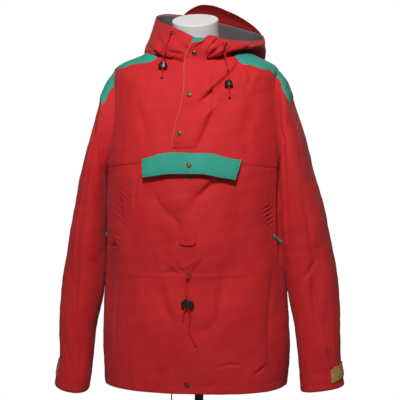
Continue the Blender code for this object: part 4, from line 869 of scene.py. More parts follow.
def edgeDistances(grid):
    across = np.linalg.norm(np.diff(grid, axis=1), axis=2)
    along = np.linalg.norm(np.diff(grid, axis=0), axis=2)
    u = np.concatenate((np.zeros((grid.shape[0], 1)), np.cumsum(across, axis=1)), axis=1)
    v = np.concatenate((np.zeros((1, grid.shape[1])), np.cumsum(along, axis=0)), axis=0)
    return {"firstRow": v, "lastRow": v[-1:] - v, "firstColumn": u, "lastColumn": u[:, -1:] - u}


def pullIn(grid, edges, gap=0.00006):
    grid = grid.copy()
    for kind, lines in (("Row", grid), ("Column", grid.swapaxes(0, 1))):
        for end, index, inner in (("first", 0, 1), ("last", -1, -2)):
            if end + kind in edges:
                step = lines[inner] - lines[index]
                lines[index] += step / np.linalg.norm(step, axis=-1, keepdims=True) * gap
    return grid


def quadsOf(rows, columns, leftOut=()):
    # the corners of a grid's cells, as places in its flattened list
    first = np.arange(rows - 1)[:, None] * columns + np.arange(columns - 1)
    keep = np.ones(first.shape, bool)
    for cell in leftOut:
        keep[cell] = False
    first = first[keep]
    return np.stack((first, first + 1, first + columns + 1, first + columns), axis=1)


def meshObject(name, points, faces, finish, uv=None):
    mesh = bpy.data.meshes.new(name)
    mesh.from_pydata(points, [], faces)
    mesh.materials.append(finishes[finish])
    if uv is not None:
        layer = mesh.uv_layers.new(name="cloth")
        corners = np.empty(len(mesh.loops), np.int32)
        mesh.loops.foreach_get("vertex_index", corners)
        layer.data.foreach_set("uv", np.asarray(uv, np.float32)[corners].ravel())
    mesh.shade_smooth()
    mesh.update()
    piece = bpy.data.objects.new(name, mesh)
    bpy.context.scene.collection.objects.link(piece)
    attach(piece, "root")
    return piece


# across a seam: the groove, the stitched line beside it and the puckering; the same for a hem at its depth
seamForm = {"dip": 0.00095, "dipReach": 0.0016, "line": 0.00030, "lineAt": 0.0040, "lineReach": 0.0013,
            "ripple": 0.00030, "reach": 0.008, "pitch": 0.013}
hemForm = {"dip": 0.00055, "dipReach": 0.0024, "ripple": 0.00035, "reach": 0.007, "pitch": 0.016}
rimReach, rimRounding = 0.0011, 0.30
easedWall = 0.0005  # what is left of the wall along an eased edge


def bell(distance, reach):
    return np.exp(-((distance / reach) ** 2))


def edgeShift(distance, sewn, hemmed, groove):
    shift = np.zeros(distance["firstRow"].shape)
    seam, hem = seamForm, hemForm
    for edge in sewn:
        d, other = distance[edge], distance["firstColumn" if "Row" in edge else "firstRow"]
        dip = -seam["dip"] * bell(d, seam["dipReach"]) - seam["line"] * bell(d - seam["lineAt"], seam["lineReach"])
        ripple = np.sin(other * 2 * math.pi / seam["pitch"] + 2.2 * np.sin(other * 41)) * np.sin(other * 57 + 1)
        shift += groove * (dip + seam["ripple"] * ripple * bell(d, seam["reach"]))
    for edge, depth in hemmed:
        d, other = distance[edge], distance["firstColumn" if "Row" in edge else "firstRow"]
        shift += -hem["dip"] * bell(d - depth, hem["dipReach"])
        ripple = np.sin(other * 2 * math.pi / hem["pitch"] + 2.0 * np.sin(other * 37))
        shift += hem["ripple"] * ripple * bell(d - depth, hem["reach"])
    return shift


def layCloth(name, gridAt, finish, lift=0.0, wall=shellWall, sewn=(), hemmed=(), eased=(), drop=None,
             flip=False, leftOut=(), easeWidth=0.0045, groove=1.0):
    # a panel with two sides and a closed rim, on the surface that gridAt(lift) gives, in place of its node
    outer, inner = gridAt(lift), gridAt(lift - wall)
    outward = (outer - inner) / wall
    distance = edgeDistances(outer)
    shift = edgeShift(distance, sewn, hemmed, groove)
    edgeSides = {*sewn, *(edge for edge, _ in hemmed)}
    rimDistance = np.min([distance[e] for e in edgeSides] or [np.full(outer.shape[:2], 1.0)], axis=0)
    rounded = rimRounding * wall * bell(rimDistance, rimReach)
    down = np.max([bell(distance[e], easeWidth) for e in eased] or [np.zeros(shift.shape)], axis=0)
    drop = lift - seamGap if drop is None else drop
    inner = inner + outward * (shift + rounded - down * (drop - wall + easedWall))[..., None]
    outer = outer + outward * (shift - rounded - down * drop)[..., None]
    outer, inner = pullIn(outer, sewn), pullIn(inner, sewn)
    rows, columns = outer.shape[:2]
    quads = quadsOf(rows, columns, leftOut)
    if flip:
        quads = quads[:, ::-1]
    count = rows * columns
    sides = np.concatenate([quads[:, [k, (k + 1) % 4]] for k in range(4)])
    codes, back = sides[:, 0] * count + sides[:, 1], sides[:, 1] * count + sides[:, 0]
    rim = sides[~np.isin(codes, back)]  # edges with a face on one side only
    rim = np.stack((rim[:, 1], rim[:, 0], rim[:, 0] + count, rim[:, 1] + count), axis=1)
    faces = np.concatenate((quads, (quads + count)[:, ::-1], rim))
    used = np.zeros(2 * count, bool)
    used[faces.ravel()] = True
    number = np.cumsum(used) - 1
    points = np.concatenate((outer.reshape(-1, 3), inner.reshape(-1, 3)))[used]
    flat = np.stack((distance["firstColumn"].ravel(), distance["firstRow"].ravel()), axis=1)
    flat[:, 0] -= np.tile(distance["firstColumn"][:, -1:] / 2, (1, columns)).ravel()
    uv = np.concatenate((flat, flat))[used]
    piece = meshObject(name, points.tolist(), number[faces].tolist(), finish, uv)
    sheets[name] = SimpleNamespace(piece=piece, outer=outer, outward=outward, distance=edgeDistances(outer),
                                   finish=finish)
    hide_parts(name)


# sewing

stitchForm = {"length": 0.0026, "pitch": 0.0036, "width": 0.00055, "height": 0.00042}


def lengthsAlong(points):
    # how far each point lies along its line
    return np.concatenate(([0], np.cumsum(np.linalg.norm(np.diff(points, axis=0), axis=1))))


def evenly(points, normals, pitch):
    along = lengthsAlong(points)
    at = np.arange(pitch / 2, along[-1] - pitch / 3, pitch)
    read = [np.stack([np.interp(at + k, along, values[:, i]) for i in range(3)], axis=1)
            for values in (points, normals) for k in (0, 0.0002)]
    return read[0], read[1] - read[0], read[2]


def sewLines(name, lines, thread, form=stitchForm):
    # small stitches along lines of (points, normals), joined in one piece
    template = np.array([(-0.5, 0, 0.0)] + [(s * 0.32, w, h) for s in (-1, 1)
                        for w, h in ((-1, 0.1), (-0.5, 1), (0.5, 1), (1, 0.1))] + [(0.5, 0, 0.0)])
    stitch = [(0, 1, 2), (0, 2, 3), (0, 3, 4), (0, 4, 1)]
    stitch += [(k + 1, k + 5, (k + 1) % 4 + 5, (k + 1) % 4 + 1) for k in range(4)]
    stitch += [(9, 6, 5), (9, 7, 6), (9, 8, 7), (9, 5, 8)]
    points, faces = [], []
    for line, normals in lines:
        if len(line) < 2:
            continue
        middle, way, up = evenly(line, normals, form["pitch"])
        way /= np.linalg.norm(way, axis=1, keepdims=True)
        up /= np.linalg.norm(up, axis=1, keepdims=True)
        side = np.cross(up, way)
        t = template * (form["length"], form["width"] / 2, form["height"])
        made = (middle[:, None] + t[None, :, :1] * way[:, None] + t[None, :, 1:2] * side[:, None]
                + (t[None, :, 2:] + 0.00006) * up[:, None])
        for first in range(len(points), len(points) + made.shape[0] * len(template), len(template)):
            faces += [tuple(first + i for i in face) for face in stitch]
        points += made.reshape(-1, 3).tolist()
    return meshObject(name, points, faces, thread)


def alongEdge(sheetName, edge, inset, start=0.0, end=1.0):
    # a line on a panel at a distance from one of its edges
    sheet = sheets[sheetName]
    grid, normals, d = sheet.outer, sheet.outward, sheet.distance[edge]
    if "Column" in edge:
        grid, normals, d = np.swapaxes(grid, 0, 1), np.swapaxes(normals, 0, 1), d.T
    if "last" in edge:
        grid, normals, d = grid[::-1], normals[::-1], d[::-1]
    columns = range(round(start * (grid.shape[1] - 1)), round(end * (grid.shape[1] - 1)) + 1)
    line, up = [], []
    for j in columns:
        line.append([np.interp(inset, d[:, j], grid[:, j, k]) for k in range(3)])
        up.append([np.interp(inset, d[:, j], normals[:, j, k]) for k in range(3)])
    return np.array(line), np.array(up)


# body

bodyMesh = {"frontStep": 0.0031, "backStep": 0.0048, "sleeveStep": 0.0042, "hoodStep": 0.0034}
bodyLength = 0.78  # metres for one unit of level, about
frontWidth, backWidth, armholeLength = 0.53, 0.54, 0.46
hemDepth = 0.020


def edgeAngle(levels):
    return armholeAngle * np.sqrt(np.clip(1 - ((levels - armholeMiddle) / armholeHalf) ** 2, 0, None))


def levelsBetween(low, high, step, first=True, last=True):
    # beside the armhole the rows crowd at its ends, where its edge runs flat
    values = spacedValues(low, high, (high - low) * bodyLength, step, first, last)
    beside = armholeMiddle + armholeHalf * np.cos(np.linspace(0, np.pi, round(armholeLength / step) + 1))
    inside = (beside > low + 1e-6) & (beside < high - 1e-6)
    keep = (values <= underarmLevel) | (values >= shoulderLevel) | (values == low) | (values == high)
    near = np.array([np.abs(beside - v).min() > 0.0004 or v in (low, high) for v in values])
    close = (np.abs(values - high) < 0.0075) | (np.abs(values - low) < 0.0075)
    return np.unique(np.concatenate((values[(keep & near) | close], beside[inside])))


def bodyGrid(levels, shares, sign, lift=0.0):
    right = edgeAngle(levels)[:, None]
    left = right * (leftFrontShare if sign < 0 else 1)
    angles = sign * (left + (np.pi - left - right) * shares[None, :])
    return bodyCloth(angles, levels[:, None], lift)


def makeFronts(step):
    shares = spacedValues(0, 1, frontWidth, step)
    below = levelsBetween(0, chestSeamLevel, step, first=False)
    layCloth("front_lower", partial(bodyGrid, below, shares, -1), "red_cloth",
             sewn=("lastRow", "firstColumn", "lastColumn"), hemmed=(("firstRow", hemDepth),), flip=True)
    left = spacedValues(0, 0.5 - slitHalf, frontWidth / 2, step, True, False)
    yokeShares = np.concatenate((left, 1 - left[::-1]))
    above = levelsBetween(chestSeamLevel, 1.0, step)
    middle = len(left) - 1
    slit = [(i, middle) for i, level in enumerate(above[:-1]) if level > slitBottomLevel]
    layCloth("front_yoke", partial(bodyGrid, above, yokeShares, -1), "red_cloth",
             sewn=everyEdge, flip=True, leftOut=slit)


def makeBack(step):
    shares = spacedValues(0, 1, backWidth, step)
    levels = levelsBetween(0, 1.0, step, first=False)
    layCloth("back", partial(bodyGrid, levels, shares, 1), "red_cloth",
             sewn=("lastRow", "firstColumn", "lastColumn"), hemmed=(("firstRow", hemDepth),))


def makePouch(step):
    shares = spacedValues(0.25, 0.75, frontWidth / 2, step)
    levels = levelsBetween(waistLevel, chestSeamLevel, step * 0.9)
    layCloth("pouch_pocket", partial(bodyGrid, levels, shares, -1), "red_cloth", seamGap + shellWall,
             flip=True, easeWidth=0.030, eased=everyEdge, drop=seamGap + shellWall + 0.0005)


# where the shoulder panels' edges run over the front and the back, as shares of the width, and where they meet the
# sleeve heads, in degrees round the armhole from the shoulder
panelEdges = {
    "left": (Rows("level share", ((0.8646, 0.0), (0.880, 0.070), (0.890, 0.106), (0.902, 0.126), (0.918, 0.140),
                                  (0.932, 0.170), (0.948, 0.172), (0.975, 0.166))), 31.0),
    "right": (Rows("level share", ((0.8500, 0.0), (0.868, 0.016), (0.880, 0.034), (0.890, 0.080), (0.902, 0.112),
                                   (0.918, 0.118), (0.932, 0.150), (0.948, 0.198), (0.975, 0.228))), 43.7),
    "behind": (Rows("level share", ((0.8549, 0.0), (0.868, 0.090), (0.882, 0.150), (0.900, 0.1667),
                                    (0.975, 0.1667))), 40.0),
}
panelForm = {"top": 0.975, "length": 0.092, "halfWidth": 0.085}


def panelHalf(name, down, across):
    # from the shoulder's ridge to one edge, in the body's angles and levels
    edge, turn = panelEdges[name]
    own = leftFrontShare if name == "left" else 1
    top, foot = panelForm["top"], edge.keys[0]
    levels = foot + (top - foot) * down
    half = edgeAngle(levels)
    angles = half * own + (np.pi - half * own - half) * edge.at(levels).share
    ridge = shoulderLevel + (top - shoulderLevel) * down
    along = np.radians(turn) * across
    hole = armholeMiddle + armholeHalf * np.cos(along)
    holeAngle = armholeAngle * np.sin(along) * own
    fade = (1 - down) ** 2
    level = ridge * (1 - across) + levels * across
    level = level + fade * (hole - (shoulderLevel * (1 - across) + foot * across))
    return angles * across + fade * (holeAngle - holeAngle[:, -1:] * across), level


def makeShoulderPanels(step, form):
    down = spacedValues(0, 1, form["length"], step * 0.8)[:, None]
    across = spacedValues(0, 1, form["halfWidth"], step * 0.8, False, True)[None, :]

    def strip(lift, name):
        (backAngle, backLevel), (frontAngle, frontLevel) = (panelHalf(n, down, across) for n in ("behind", name))
        angles = np.concatenate((backAngle[:, :0:-1], -frontAngle), axis=1)
        levels = np.concatenate((backLevel[:, :0:-1], frontLevel), axis=1)
        return bodyCloth(angles if name == "left" else np.pi - angles, levels, lift)

    for name in ("left", "right"):
        layCloth(f"shoulder_panel_{name}", partial(strip, name=name), "green_cloth", layGap + shellWall,
                 sewn=("firstRow", "firstColumn", "lastColumn"), eased=("firstColumn", "lastColumn"),
                 flip=name == "left")


armholeTurns = np.radians((0, 20, 40, 63, 87, 110, 133, 157, 180))
headTurns = np.radians((0, 13, 26, 50, 76, 102, 128, 154, 180))
sleeveTurnsBelow = np.radians((0, 28, 55, 72, 92, 113, 135, 157, 180))
headRing, straightRing, sleeveSeam = 1.5, 4.0, 2
# the sleeve heads' front edges down the sleeve, and the rings where they end from the front edge to the back one
headEdges = {
    "left": (Rows("ring column", ((0, -1.55), (0.3, -1.62), (0.5, -1.90), (0.7, -2.32), (1.1, -2.48),
                                  (1.4, -2.52), (1.75, -2.25))),
             Rows("share ring", ((0, 1.72), (0.3, 1.68), (1, 1.60)))),
    "right": (Rows("ring column", ((0, -2.16), (0.3, -2.38), (0.5, -2.72), (0.7, -3.02), (0.95, -3.15))),
              Rows("share ring", ((0, 0.95), (0.12, 1.30), (0.3, 1.72), (0.6, 1.82), (1, 1.60)))),
}


def sleeveTurns(rings, columns):
    columns = np.asarray(columns, float)
    steps = np.arange(len(armholeTurns))
    known = [smoothCurve(steps.astype(float), turns, np.abs(columns))
             for turns in (armholeTurns, headTurns, sleeveTurnsBelow)]
    read = [np.interp(rings, (0, headRing, straightRing), column) for column in zip(*known)]
    return np.sign(columns) * np.stack(read, axis=-1)


# metres from one ring of a sleeve to the next, by ring
ringSpacing = Rows("ring spacing", ((0, 0.05), (1, 0.05), (2, 0.06), (3, 0.068), (8, 0.085), (9, 0.055),
                                    (10, 0.030), (11, 0.034)))
cuffDepth = 0.016


def ringValues(first, last, step):
    # rings of a sleeve, closer where they are further apart in the table
    even = np.linspace(first, last, 400)
    spacing = np.interp(even, ringSpacing.keys, ringSpacing.values[:, 1])
    along = np.concatenate(([0], np.cumsum(spacing[1:] * np.diff(even))))
    at = np.concatenate((np.linspace(0, along[-1], round(along[-1] / step) + 1), besideSeam))
    return np.interp(np.unique(at), along, even)


def makeSleeve(name, side, rows, step):
    rings = ringValues(0, 11, step)
    for part, first, last, width in (("front", -8, -sleeveSeam, 0.26), ("back", -sleeveSeam, 8, 0.36)):
        turns = sleeveTurns(rings, spacedValues(first, last, width, step))
        layCloth(f"sleeve_{name}_{part}", partial(sleeveCloth, rows, side, rings[:, None], turns), "red_cloth",
                 sewn=("firstRow", "firstColumn", "lastColumn"), hemmed=(("lastRow", cuffDepth),),
                 flip=side > 0, groove=0.45)
    edge, end = headEdges[name]
    down, share = spacedValues(0, 1, 0.10, step * 0.7)[:, None], spacedValues(0, 1, 0.13, step * 0.7)[None, :]
    rings = down * end.at(share).ring
    columns = edge.at(down * end.at(0.0).ring).column * (1 - share) + sleeveSeam * share
    turns = np.empty(rings.shape)
    for at in np.ndindex(*rings.shape):
        turns[at] = sleeveTurns([rings[at]], [columns[at]])[0, 0]
    layCloth(f"sleeve_head_{name}", partial(sleeveCloth, rows, side, rings, turns), "green_cloth",
             layGap + shellWall, sewn=everyEdge, eased=everyEdge[1:], flip=side > 0)


makeFronts(bodyMesh["frontStep"])
makeBack(bodyMesh["backStep"])
makePouch(bodyMesh["frontStep"])
makeShoulderPanels(bodyMesh["frontStep"], panelForm)
makeSleeve("left", 1, leftSleeve, bodyMesh["sleeveStep"])
makeSleeve("right", -1, rightSleeve, bodyMesh["sleeveStep"])
print("body and sleeves made")

# hood

hoodPanels = {"left": (0, 6.4), "centre": (6.4, 7.6), "right": (7.6, 14)}
# lengths in metres for a turn and across, and the shares across where the lining starts and ends
hoodForm = {"turn": 0.068, "across": 0.30, "hem": 0.016, "facingFrom": 13.2, "from": 0.125, "to": 0.996,
            "liningAcross": 0.26, "facingAcross": 0.16, "facingLength": 0.05, "facingTo": 0.998}
# the neck's facing goes on past the collar's edge as a tongue behind the placket
tongueForm = {"from": 0.0028, "to": 0.0262, "columns": 10, "way": (1, 0.12, 0), "bend": (0, 0.0035, -0.002),
              "bentOver": 0.028}


def hoodGrid(turns, across, lift):
    return hoodCloth(turns[None, :], across[:, None], lift)


def makeHood(step, form):
    end = hoodPanels["right"][1]
    inside = -shellWall - seamGap
    for name, (first, last) in hoodPanels.items():
        turns = spacedValues(first, last, (last - first) * form["turn"], step, first > 0, last < end)
        across = spacedValues(0, 1, form["across"], step, False, True)
        sewn = [edge for edge, at in (("firstColumn", first), ("lastColumn", last)) if 0 < at < end]
        layCloth(f"hood_{name}", partial(hoodGrid, turns, across), "red_cloth", sewn=sewn,
                 hemmed=(("lastRow", form["hem"]),))
        last = min(last, form["facingFrom"])
        turns = spacedValues(first, last, (last - first) * form["turn"], step * 1.3)
        across = spacedValues(form["from"], form["to"], form["liningAcross"], step * 1.3, False, False)
        layCloth(f"hood_lining_{name}", partial(hoodGrid, turns, across), "grey_knit", inside, liningWall,
                 sewn=("firstColumn", "lastColumn"))
    turns = spacedValues(form["facingFrom"], end, form["facingLength"], step * 0.8, True, False)
    across = spacedValues(form["from"], form["facingTo"], form["facingAcross"], step, False, True)

    def facing(lift):
        grid, bent = hoodGrid(turns, across, lift), tongueForm
        out = np.linspace(bent["from"], bent["to"], bent["columns"])[:, None]
        tongue = grid[:, -1:] + out * bent["way"] + (out / bent["bentOver"]) ** 2 * bent["bend"]
        return np.concatenate((grid, tongue), axis=1)

    layCloth("neck_facing", facing, "green_cloth", inside, liningWall, sewn=("firstColumn", "lastRow"))


peakRows = Rows("turn height", (
    (4.8, 0.003), (5.2, 0.013), (6.0, 0.030), (6.5, 0.037), (7.0, 0.042), (7.4, 0.036), (7.7, 0.022), (8.0, 0.004),
))
peakUp = np.array((0.0, 0.22, 0.975))
peakForm = {"wall": 0.0030, "hem": 0.008, "sunk": 0.0006, "sway": 0.0006, "rise": 0.84, "lean": 0.62, "bow": 0.60}


def makePeak(form):
    turns = np.linspace(peakRows.keys[0], peakRows.keys[-1], 65)
    foot = hoodCloth(turns, 1.0, -shellWall / 2)
    foot[:, 2] -= form["sunk"]
    height = peakRows.at(turns).height[:, None]
    out = np.cross(np.gradient(foot, axis=0), peakUp)
    out /= np.linalg.norm(out, axis=1, keepdims=True)
    sway = form["sway"] * np.sin(turns * 9)[:, None] * out

    def stand(lift):
        # stiff, and bowed a little to the front
        return np.stack([foot + height * form["rise"] * s * (peakUp - (0, form["lean"] + form["bow"] * s, 0))
                         + out * lift + sway * s for s in (0, 0.12, 0.3, 0.5, 0.7, 0.85, 0.95, 1)])

    layCloth("hood_peak", stand, "red_cloth", form["wall"] / 2, form["wall"], hemmed=(("lastRow", form["hem"]),))


makeHood(bodyMesh["hoodStep"], hoodForm)
makePeak(peakForm)
print("hood made")

# pieces on the front


class Skin:
    # the outer side of made panels, to find where a piece placed by x and height lies
    def __init__(self, names):
        points, faces = [], []
        for name in names:
            grid = sheets[name].outer
            faces += (len(points) + quadsOf(*grid.shape[:2])).tolist()
            points += grid.reshape(-1, 3).tolist()
        self.tree = BVHTree.FromPolygons(points, faces)

    def front(self, x, z, reach=0.0008):
        hits = []
        for side, up in ((0, 0), (1, 0), (-1, 0), (0, 1), (0, -1)):
            start = Vector((x + side * reach, -1, hemHeight + z + up * reach))
            hits.append(self.tree.ray_cast(start, Vector((0, 1, 0)))[:2])
        hits = [hit for hit in hits if hit[0] and hit[0].y < -0.05]  # not through the open neck
        if not hits:
            hits = [self.tree.find_nearest(Vector((x, -0.15, hemHeight + z)))[:2]]
        normal = np.mean([n * (-1 if n.y > 0 else 1) for _, n in hits], axis=0)
        depth = min(place.y for place, _ in hits)
        return np.array((x, depth, hemHeight + z)), normal / np.linalg.norm(normal)

    def grid(self, xs, zs, lifts, reach=0.0008, passes=3):
        # the evened-out cloth's places, raised along its normals by the lifts and by a further one
        depth = np.empty(xs.shape)
        for at in np.ndindex(*xs.shape):
            depth[at] = self.front(xs[at], zs[at], reach)[0][1]
        for _ in range(passes):
            padded = np.pad(depth, 1, mode="edge")
            depth = sum(padded[1 + i:1 + i + xs.shape[0], 1 + j:1 + j + xs.shape[1]]
                        for i in (-1, 0, 1) for j in (-1, 0, 1)) / 9
        places = np.stack((xs, depth, hemHeight + zs), axis=-1)
        normals = np.cross(np.gradient(places, axis=1), np.gradient(places, axis=0))
        normals *= -np.sign(normals[..., 1:2]) / np.linalg.norm(normals, axis=-1, keepdims=True)
        return lambda lift: places + normals * (lifts + lift)[..., None]


flapRows = Rows("share topX topZ bottomX bottomZ", (
    (0.00, -0.0964, 0.5125, -0.0889, 0.4735),
    (0.09, -0.0786, 0.5175, -0.0740, 0.4760),
    (0.22, -0.0499, 0.5255, -0.0480, 0.4800),
    (0.50, 0.0130, 0.5265, 0.0110, 0.4820),
    (0.70, 0.0557, 0.5250, 0.0480, 0.4800),
    (0.86, 0.0893, 0.5160, 0.0790, 0.4740),
    (1.00, 0.1165, 0.5115, 0.1024, 0.4690),
))
flapForm = {"topLift": 0.0036, "bottomLift": 0.0150, "wall": 0.0020, "hem": 0.004, "width": 0.21,
            "height": 0.044, "across": 84, "down": 20, "wave": 0.0008}

placketRows = Rows("along freeX freeZ sewnX sewnZ lift", (
    (0.0000, -0.0300, 0.5360, 0.022, 0.536, 0.0004),
    (0.0090, -0.0295, 0.5450, 0.025, 0.545, 0.0006),
    (0.0500, -0.0235, 0.5860, 0.040, 0.586, 0.0010),
    (0.0830, -0.0156, 0.6180, 0.050, 0.618, 0.0014),
    (0.1150, -0.0099, 0.6500, 0.052, 0.650, 0.0018),
    (0.1470, -0.0087, 0.6820, 0.050, 0.682, 0.0022),
    (0.1790, -0.0109, 0.7140, 0.044, 0.712, 0.0030),
    (0.1960, -0.0100, 0.7310, 0.038, 0.728, 0.0040),
    (0.2100, -0.0055, 0.7440, 0.037, 0.740, 0.0050),
    (0.2230, 0.0020, 0.7547, 0.040, 0.749, 0.0055),
    (0.2345, 0.0110, 0.7615, 0.045, 0.756, 0.0050),
    (0.2445, 0.0199, 0.7666, 0.049, 0.762, 0.0040),
    (0.2560, 0.0300, 0.7702, 0.053, 0.767, 0.0030),
    (0.2630, 0.0365, 0.7735, 0.056, 0.771, 0.0020),
    (0.2710, 0.0430, 0.7785, 0.059, 0.776, 0.0012),
))


def makeFlap(skin, form):
    shares = spacedValues(0, 1, form["width"], form["width"] / form["across"])
    row = flapRows.at(shares)
    down = spacedValues(0, 1, form["height"], form["height"] / form["down"])[:, None]
    xs, zs = row.topX + (row.bottomX - row.topX) * down, row.topZ + (row.bottomZ - row.topZ) * down
    wave = form["wave"] * np.sin(shares * 9 + 0.6)[None, :] * down**2
    lifts = form["topLift"] + (form["bottomLift"] - form["topLift"]) * down**0.7 + wave
    layCloth("pocket_flap", skin.grid(xs, zs, lifts), "green_cloth", 0.0, form["wall"],
             hemmed=tuple((edge, form["hem"]) for edge in everyEdge), flip=True)


placketForm = {"width": 0.055, "step": 0.0030, "hem": 0.005, "ease": 0.009, "reach": 0.006, "creased": 0.7}


def makePlacket(skin, form):
    length = placketRows.keys[-1]
    along = spacedValues(0, length, length, form["step"])
    row = placketRows.at(along)
    share = spacedValues(0, 1, form["width"], form["step"])[None, :]
    xs = row.freeX[:, None] + (row.sewnX - row.freeX)[:, None] * share
    zs = row.freeZ[:, None] + (row.sewnZ - row.freeZ)[:, None] * share
    lifts = layGap + shellWall + row.lift[:, None] * (1 - share) ** 2
    lifts = lifts + form["creased"] * creaseShift(frontCreases, xs, zs) + ledgeShift(frontLedges, xs, zs)
    layCloth("placket", skin.grid(xs, zs, lifts, form["reach"]), "red_cloth",
             hemmed=(("firstColumn", form["hem"]),), sewn=("firstRow",), easeWidth=form["ease"],
             eased=("lastColumn", "firstRow", "lastRow"), drop=layGap + shellWall - seamGap)


badgeForm = {"x": 0.0044, "z": 0.3490, "width": 0.037, "height": 0.040, "border": 0.0004, "borderWidth": 0.10}


def makeBadge(skin, form):
    share = np.linspace(-1, 1, 23)
    u, v = np.meshgrid(share, share)
    square, radius = np.maximum(np.abs(u), np.abs(v)), (np.abs(u) ** 4 + np.abs(v) ** 4) ** 0.25
    scale = square / np.maximum(radius, 1e-9)
    xs, zs = form["x"] + u * scale * form["width"] / 2, form["z"] + v * scale * form["height"] / 2
    rise = form["border"] * bell(1 - square, form["borderWidth"])  # its corded border
    layCloth("badge", skin.grid(xs, zs, layGap / 2 + shellWall + rise), "red_cloth")


weltRows = Rows("share angle level", ((0.0, -19.5, 0.493), (0.5, -11.5, 0.476), (1.0, -3.5, 0.462)))
weltForm = {"width": 0.010, "hem": 0.0015, "furtherBack": 5}  # the right one, in degrees


def makeWelts(form):
    row = weltRows.at(np.linspace(0, 1, 26))
    levels = row.level[None, :] + np.linspace(-0.5, 0.5, 7)[:, None] * form["width"]
    right = 180 - row.angle - form["furtherBack"]
    for name, turn in (("pocket_welt_left", row.angle), ("pocket_welt_right", right)):
        angles = np.radians(turn)[None, :]
        layCloth(name, partial(bodyCloth, angles, levels), "green_cloth", layGap + shellWall,
                 flip=name.endswith("right"), hemmed=tuple((edge, form["hem"]) for edge in everyEdge[:2]))


tabRows = Rows("column ring", ((-2.6, 10.16), (-2, 10.06), (-1, 9.94), (0, 9.88), (1, 9.95), (2, 10.05)))
# its width in rings and in metres, and how far in columns it narrows towards its tip
tabForm = {"rings": 1.12, "width": 0.021, "step": 0.0016, "columns": 61, "tapered": 0.9, "taper": 0.14,
           "hem": 0.003}


def makeCuffTab(name, rows, side, tip, form=tabForm):
    columns = np.linspace(tip, sleeveSeam, form["columns"])
    across = spacedValues(-0.5, 0.5, form["width"], form["step"])[:, None]
    taper = 1 - form["taper"] * np.clip((tip + form["tapered"] - columns) / form["tapered"], 0, 1) ** 2
    rings = tabRows.at(columns).ring[None, :] + across * form["rings"] * taper[None, :]
    turns = np.broadcast_to(sleeveTurns([straightRing], columns), rings.shape)
    layCloth(name, partial(sleeveCloth, rows, side, rings, turns), "tan_leather", layGap + shellWall,
             hemmed=tuple((edge, form["hem"]) for edge in everyEdge[:3]), flip=side > 0)


baseSkin = Skin(("front_lower", "front_yoke", "hood_left", "hood_right"))
makeFlap(baseSkin, flapForm)
makePlacket(baseSkin, placketForm)
makeBadge(Skin(("pouch_pocket",)), badgeForm)
makeWelts(weltForm)
makeCuffTab("cuff_tab_left", leftSleeve, 1, -2.35)
makeCuffTab("cuff_tab_right", rightSleeve, -1, -1.35)
print("flap, placket, badge, welts and straps made")

# cords

topSkin = Skin(("front_lower", "front_yoke", "hood_left", "hood_right", "pouch_pocket", "placket", "pocket_flap",
                "badge"))
cordRadius = 0.0014
# x, height above the hem, how far the cord's middle is in front of the cloth
cordRoutes = {
    "hood_cord_left": {"lock": 8, "length": 0.137, "end": "knot", "route": (
        (0.0768, 0.7616, 0.008), (0.0753, 0.7535, 0.013), (0.0741, 0.747, 0.0064), (0.076, 0.743, 0.0056),
        (0.079, 0.73, 0.0318), (0.0825, 0.718, 0.022), (0.0843, 0.705, 0.012), (0.0842, 0.693, 0.0067),
        (0.0853, 0.683, 0.0078), (0.0888, 0.6655, 0.0082), (0.0892, 0.654, 0.0056), (0.0893, 0.644, 0.0048))},
    "hood_cord_right": {"lock": 6, "length": 0.122, "end": "knot", "route": (
        (-0.0458, 0.7878, 0.008), (-0.0462, 0.7798, 0.013), (-0.0478, 0.773, 0.0064), (-0.0519, 0.7592, 0.0046),
        (-0.054, 0.747, 0.0052), (-0.0552, 0.736, 0.024), (-0.0566, 0.724, 0.0165), (-0.0588, 0.705, 0.0074),
        (-0.0588, 0.696, 0.005), (-0.0586, 0.687, 0.005))},
    "waist_cord_short": {"lock": 5, "length": 0.104, "end": "bare", "route": (
        (0.004, 0.2642, 0.0026), (0.0034, 0.2598, 0.005), (0.0004, 0.2548, 0.0034), (-0.0014, 0.24, 0.0028),
        (-0.0004, 0.225, 0.004), (0.0042, 0.213, 0.0074), (0.0008, 0.196, 0.0074), (-0.0024, 0.19, 0.0052),
        (-0.0054, 0.183, 0.0032), (-0.0063, 0.1663, 0.0028))},
    "waist_cord_long": {"lock": 5, "length": 0.160, "end": "bare", "route": (
        (0.0071, 0.2642, 0.0026), (0.007, 0.2598, 0.005), (0.0054, 0.2548, 0.0034), (0.0046, 0.24, 0.0028),
        (0.0054, 0.225, 0.004), (0.0076, 0.213, 0.0074), (0.0042, 0.196, 0.0074), (0.0066, 0.189, 0.005),
        (0.0093, 0.182, 0.0032), (0.0087, 0.1731, 0.0028), (0.0066, 0.145, 0.0028), (0.013, 0.13, 0.0028),
        (0.0227, 0.1129, 0.0028))},
}
# and the cord in the hem's channel, by x and height only, in front of the body's edge
hemCord = {"length": 0.032, "end": "bare", "angle": -94, "inFront": 0.002, "route": (
    (-0.0324, 0.01), (-0.0325, 0), (-0.0322, -0.01), (-0.033, -0.022))}
knotSwell, knotLength = (1.0, 1.7, 2.1, 2.0, 1.2), 0.008


def ringQuads(rings, sides):
    # the faces between closed rings of points
    return [(i * sides + k, i * sides + (k + 1) % sides, (i + 1) * sides + (k + 1) % sides, (i + 1) * sides + k)
            for i in range(rings - 1) for k in range(sides)]


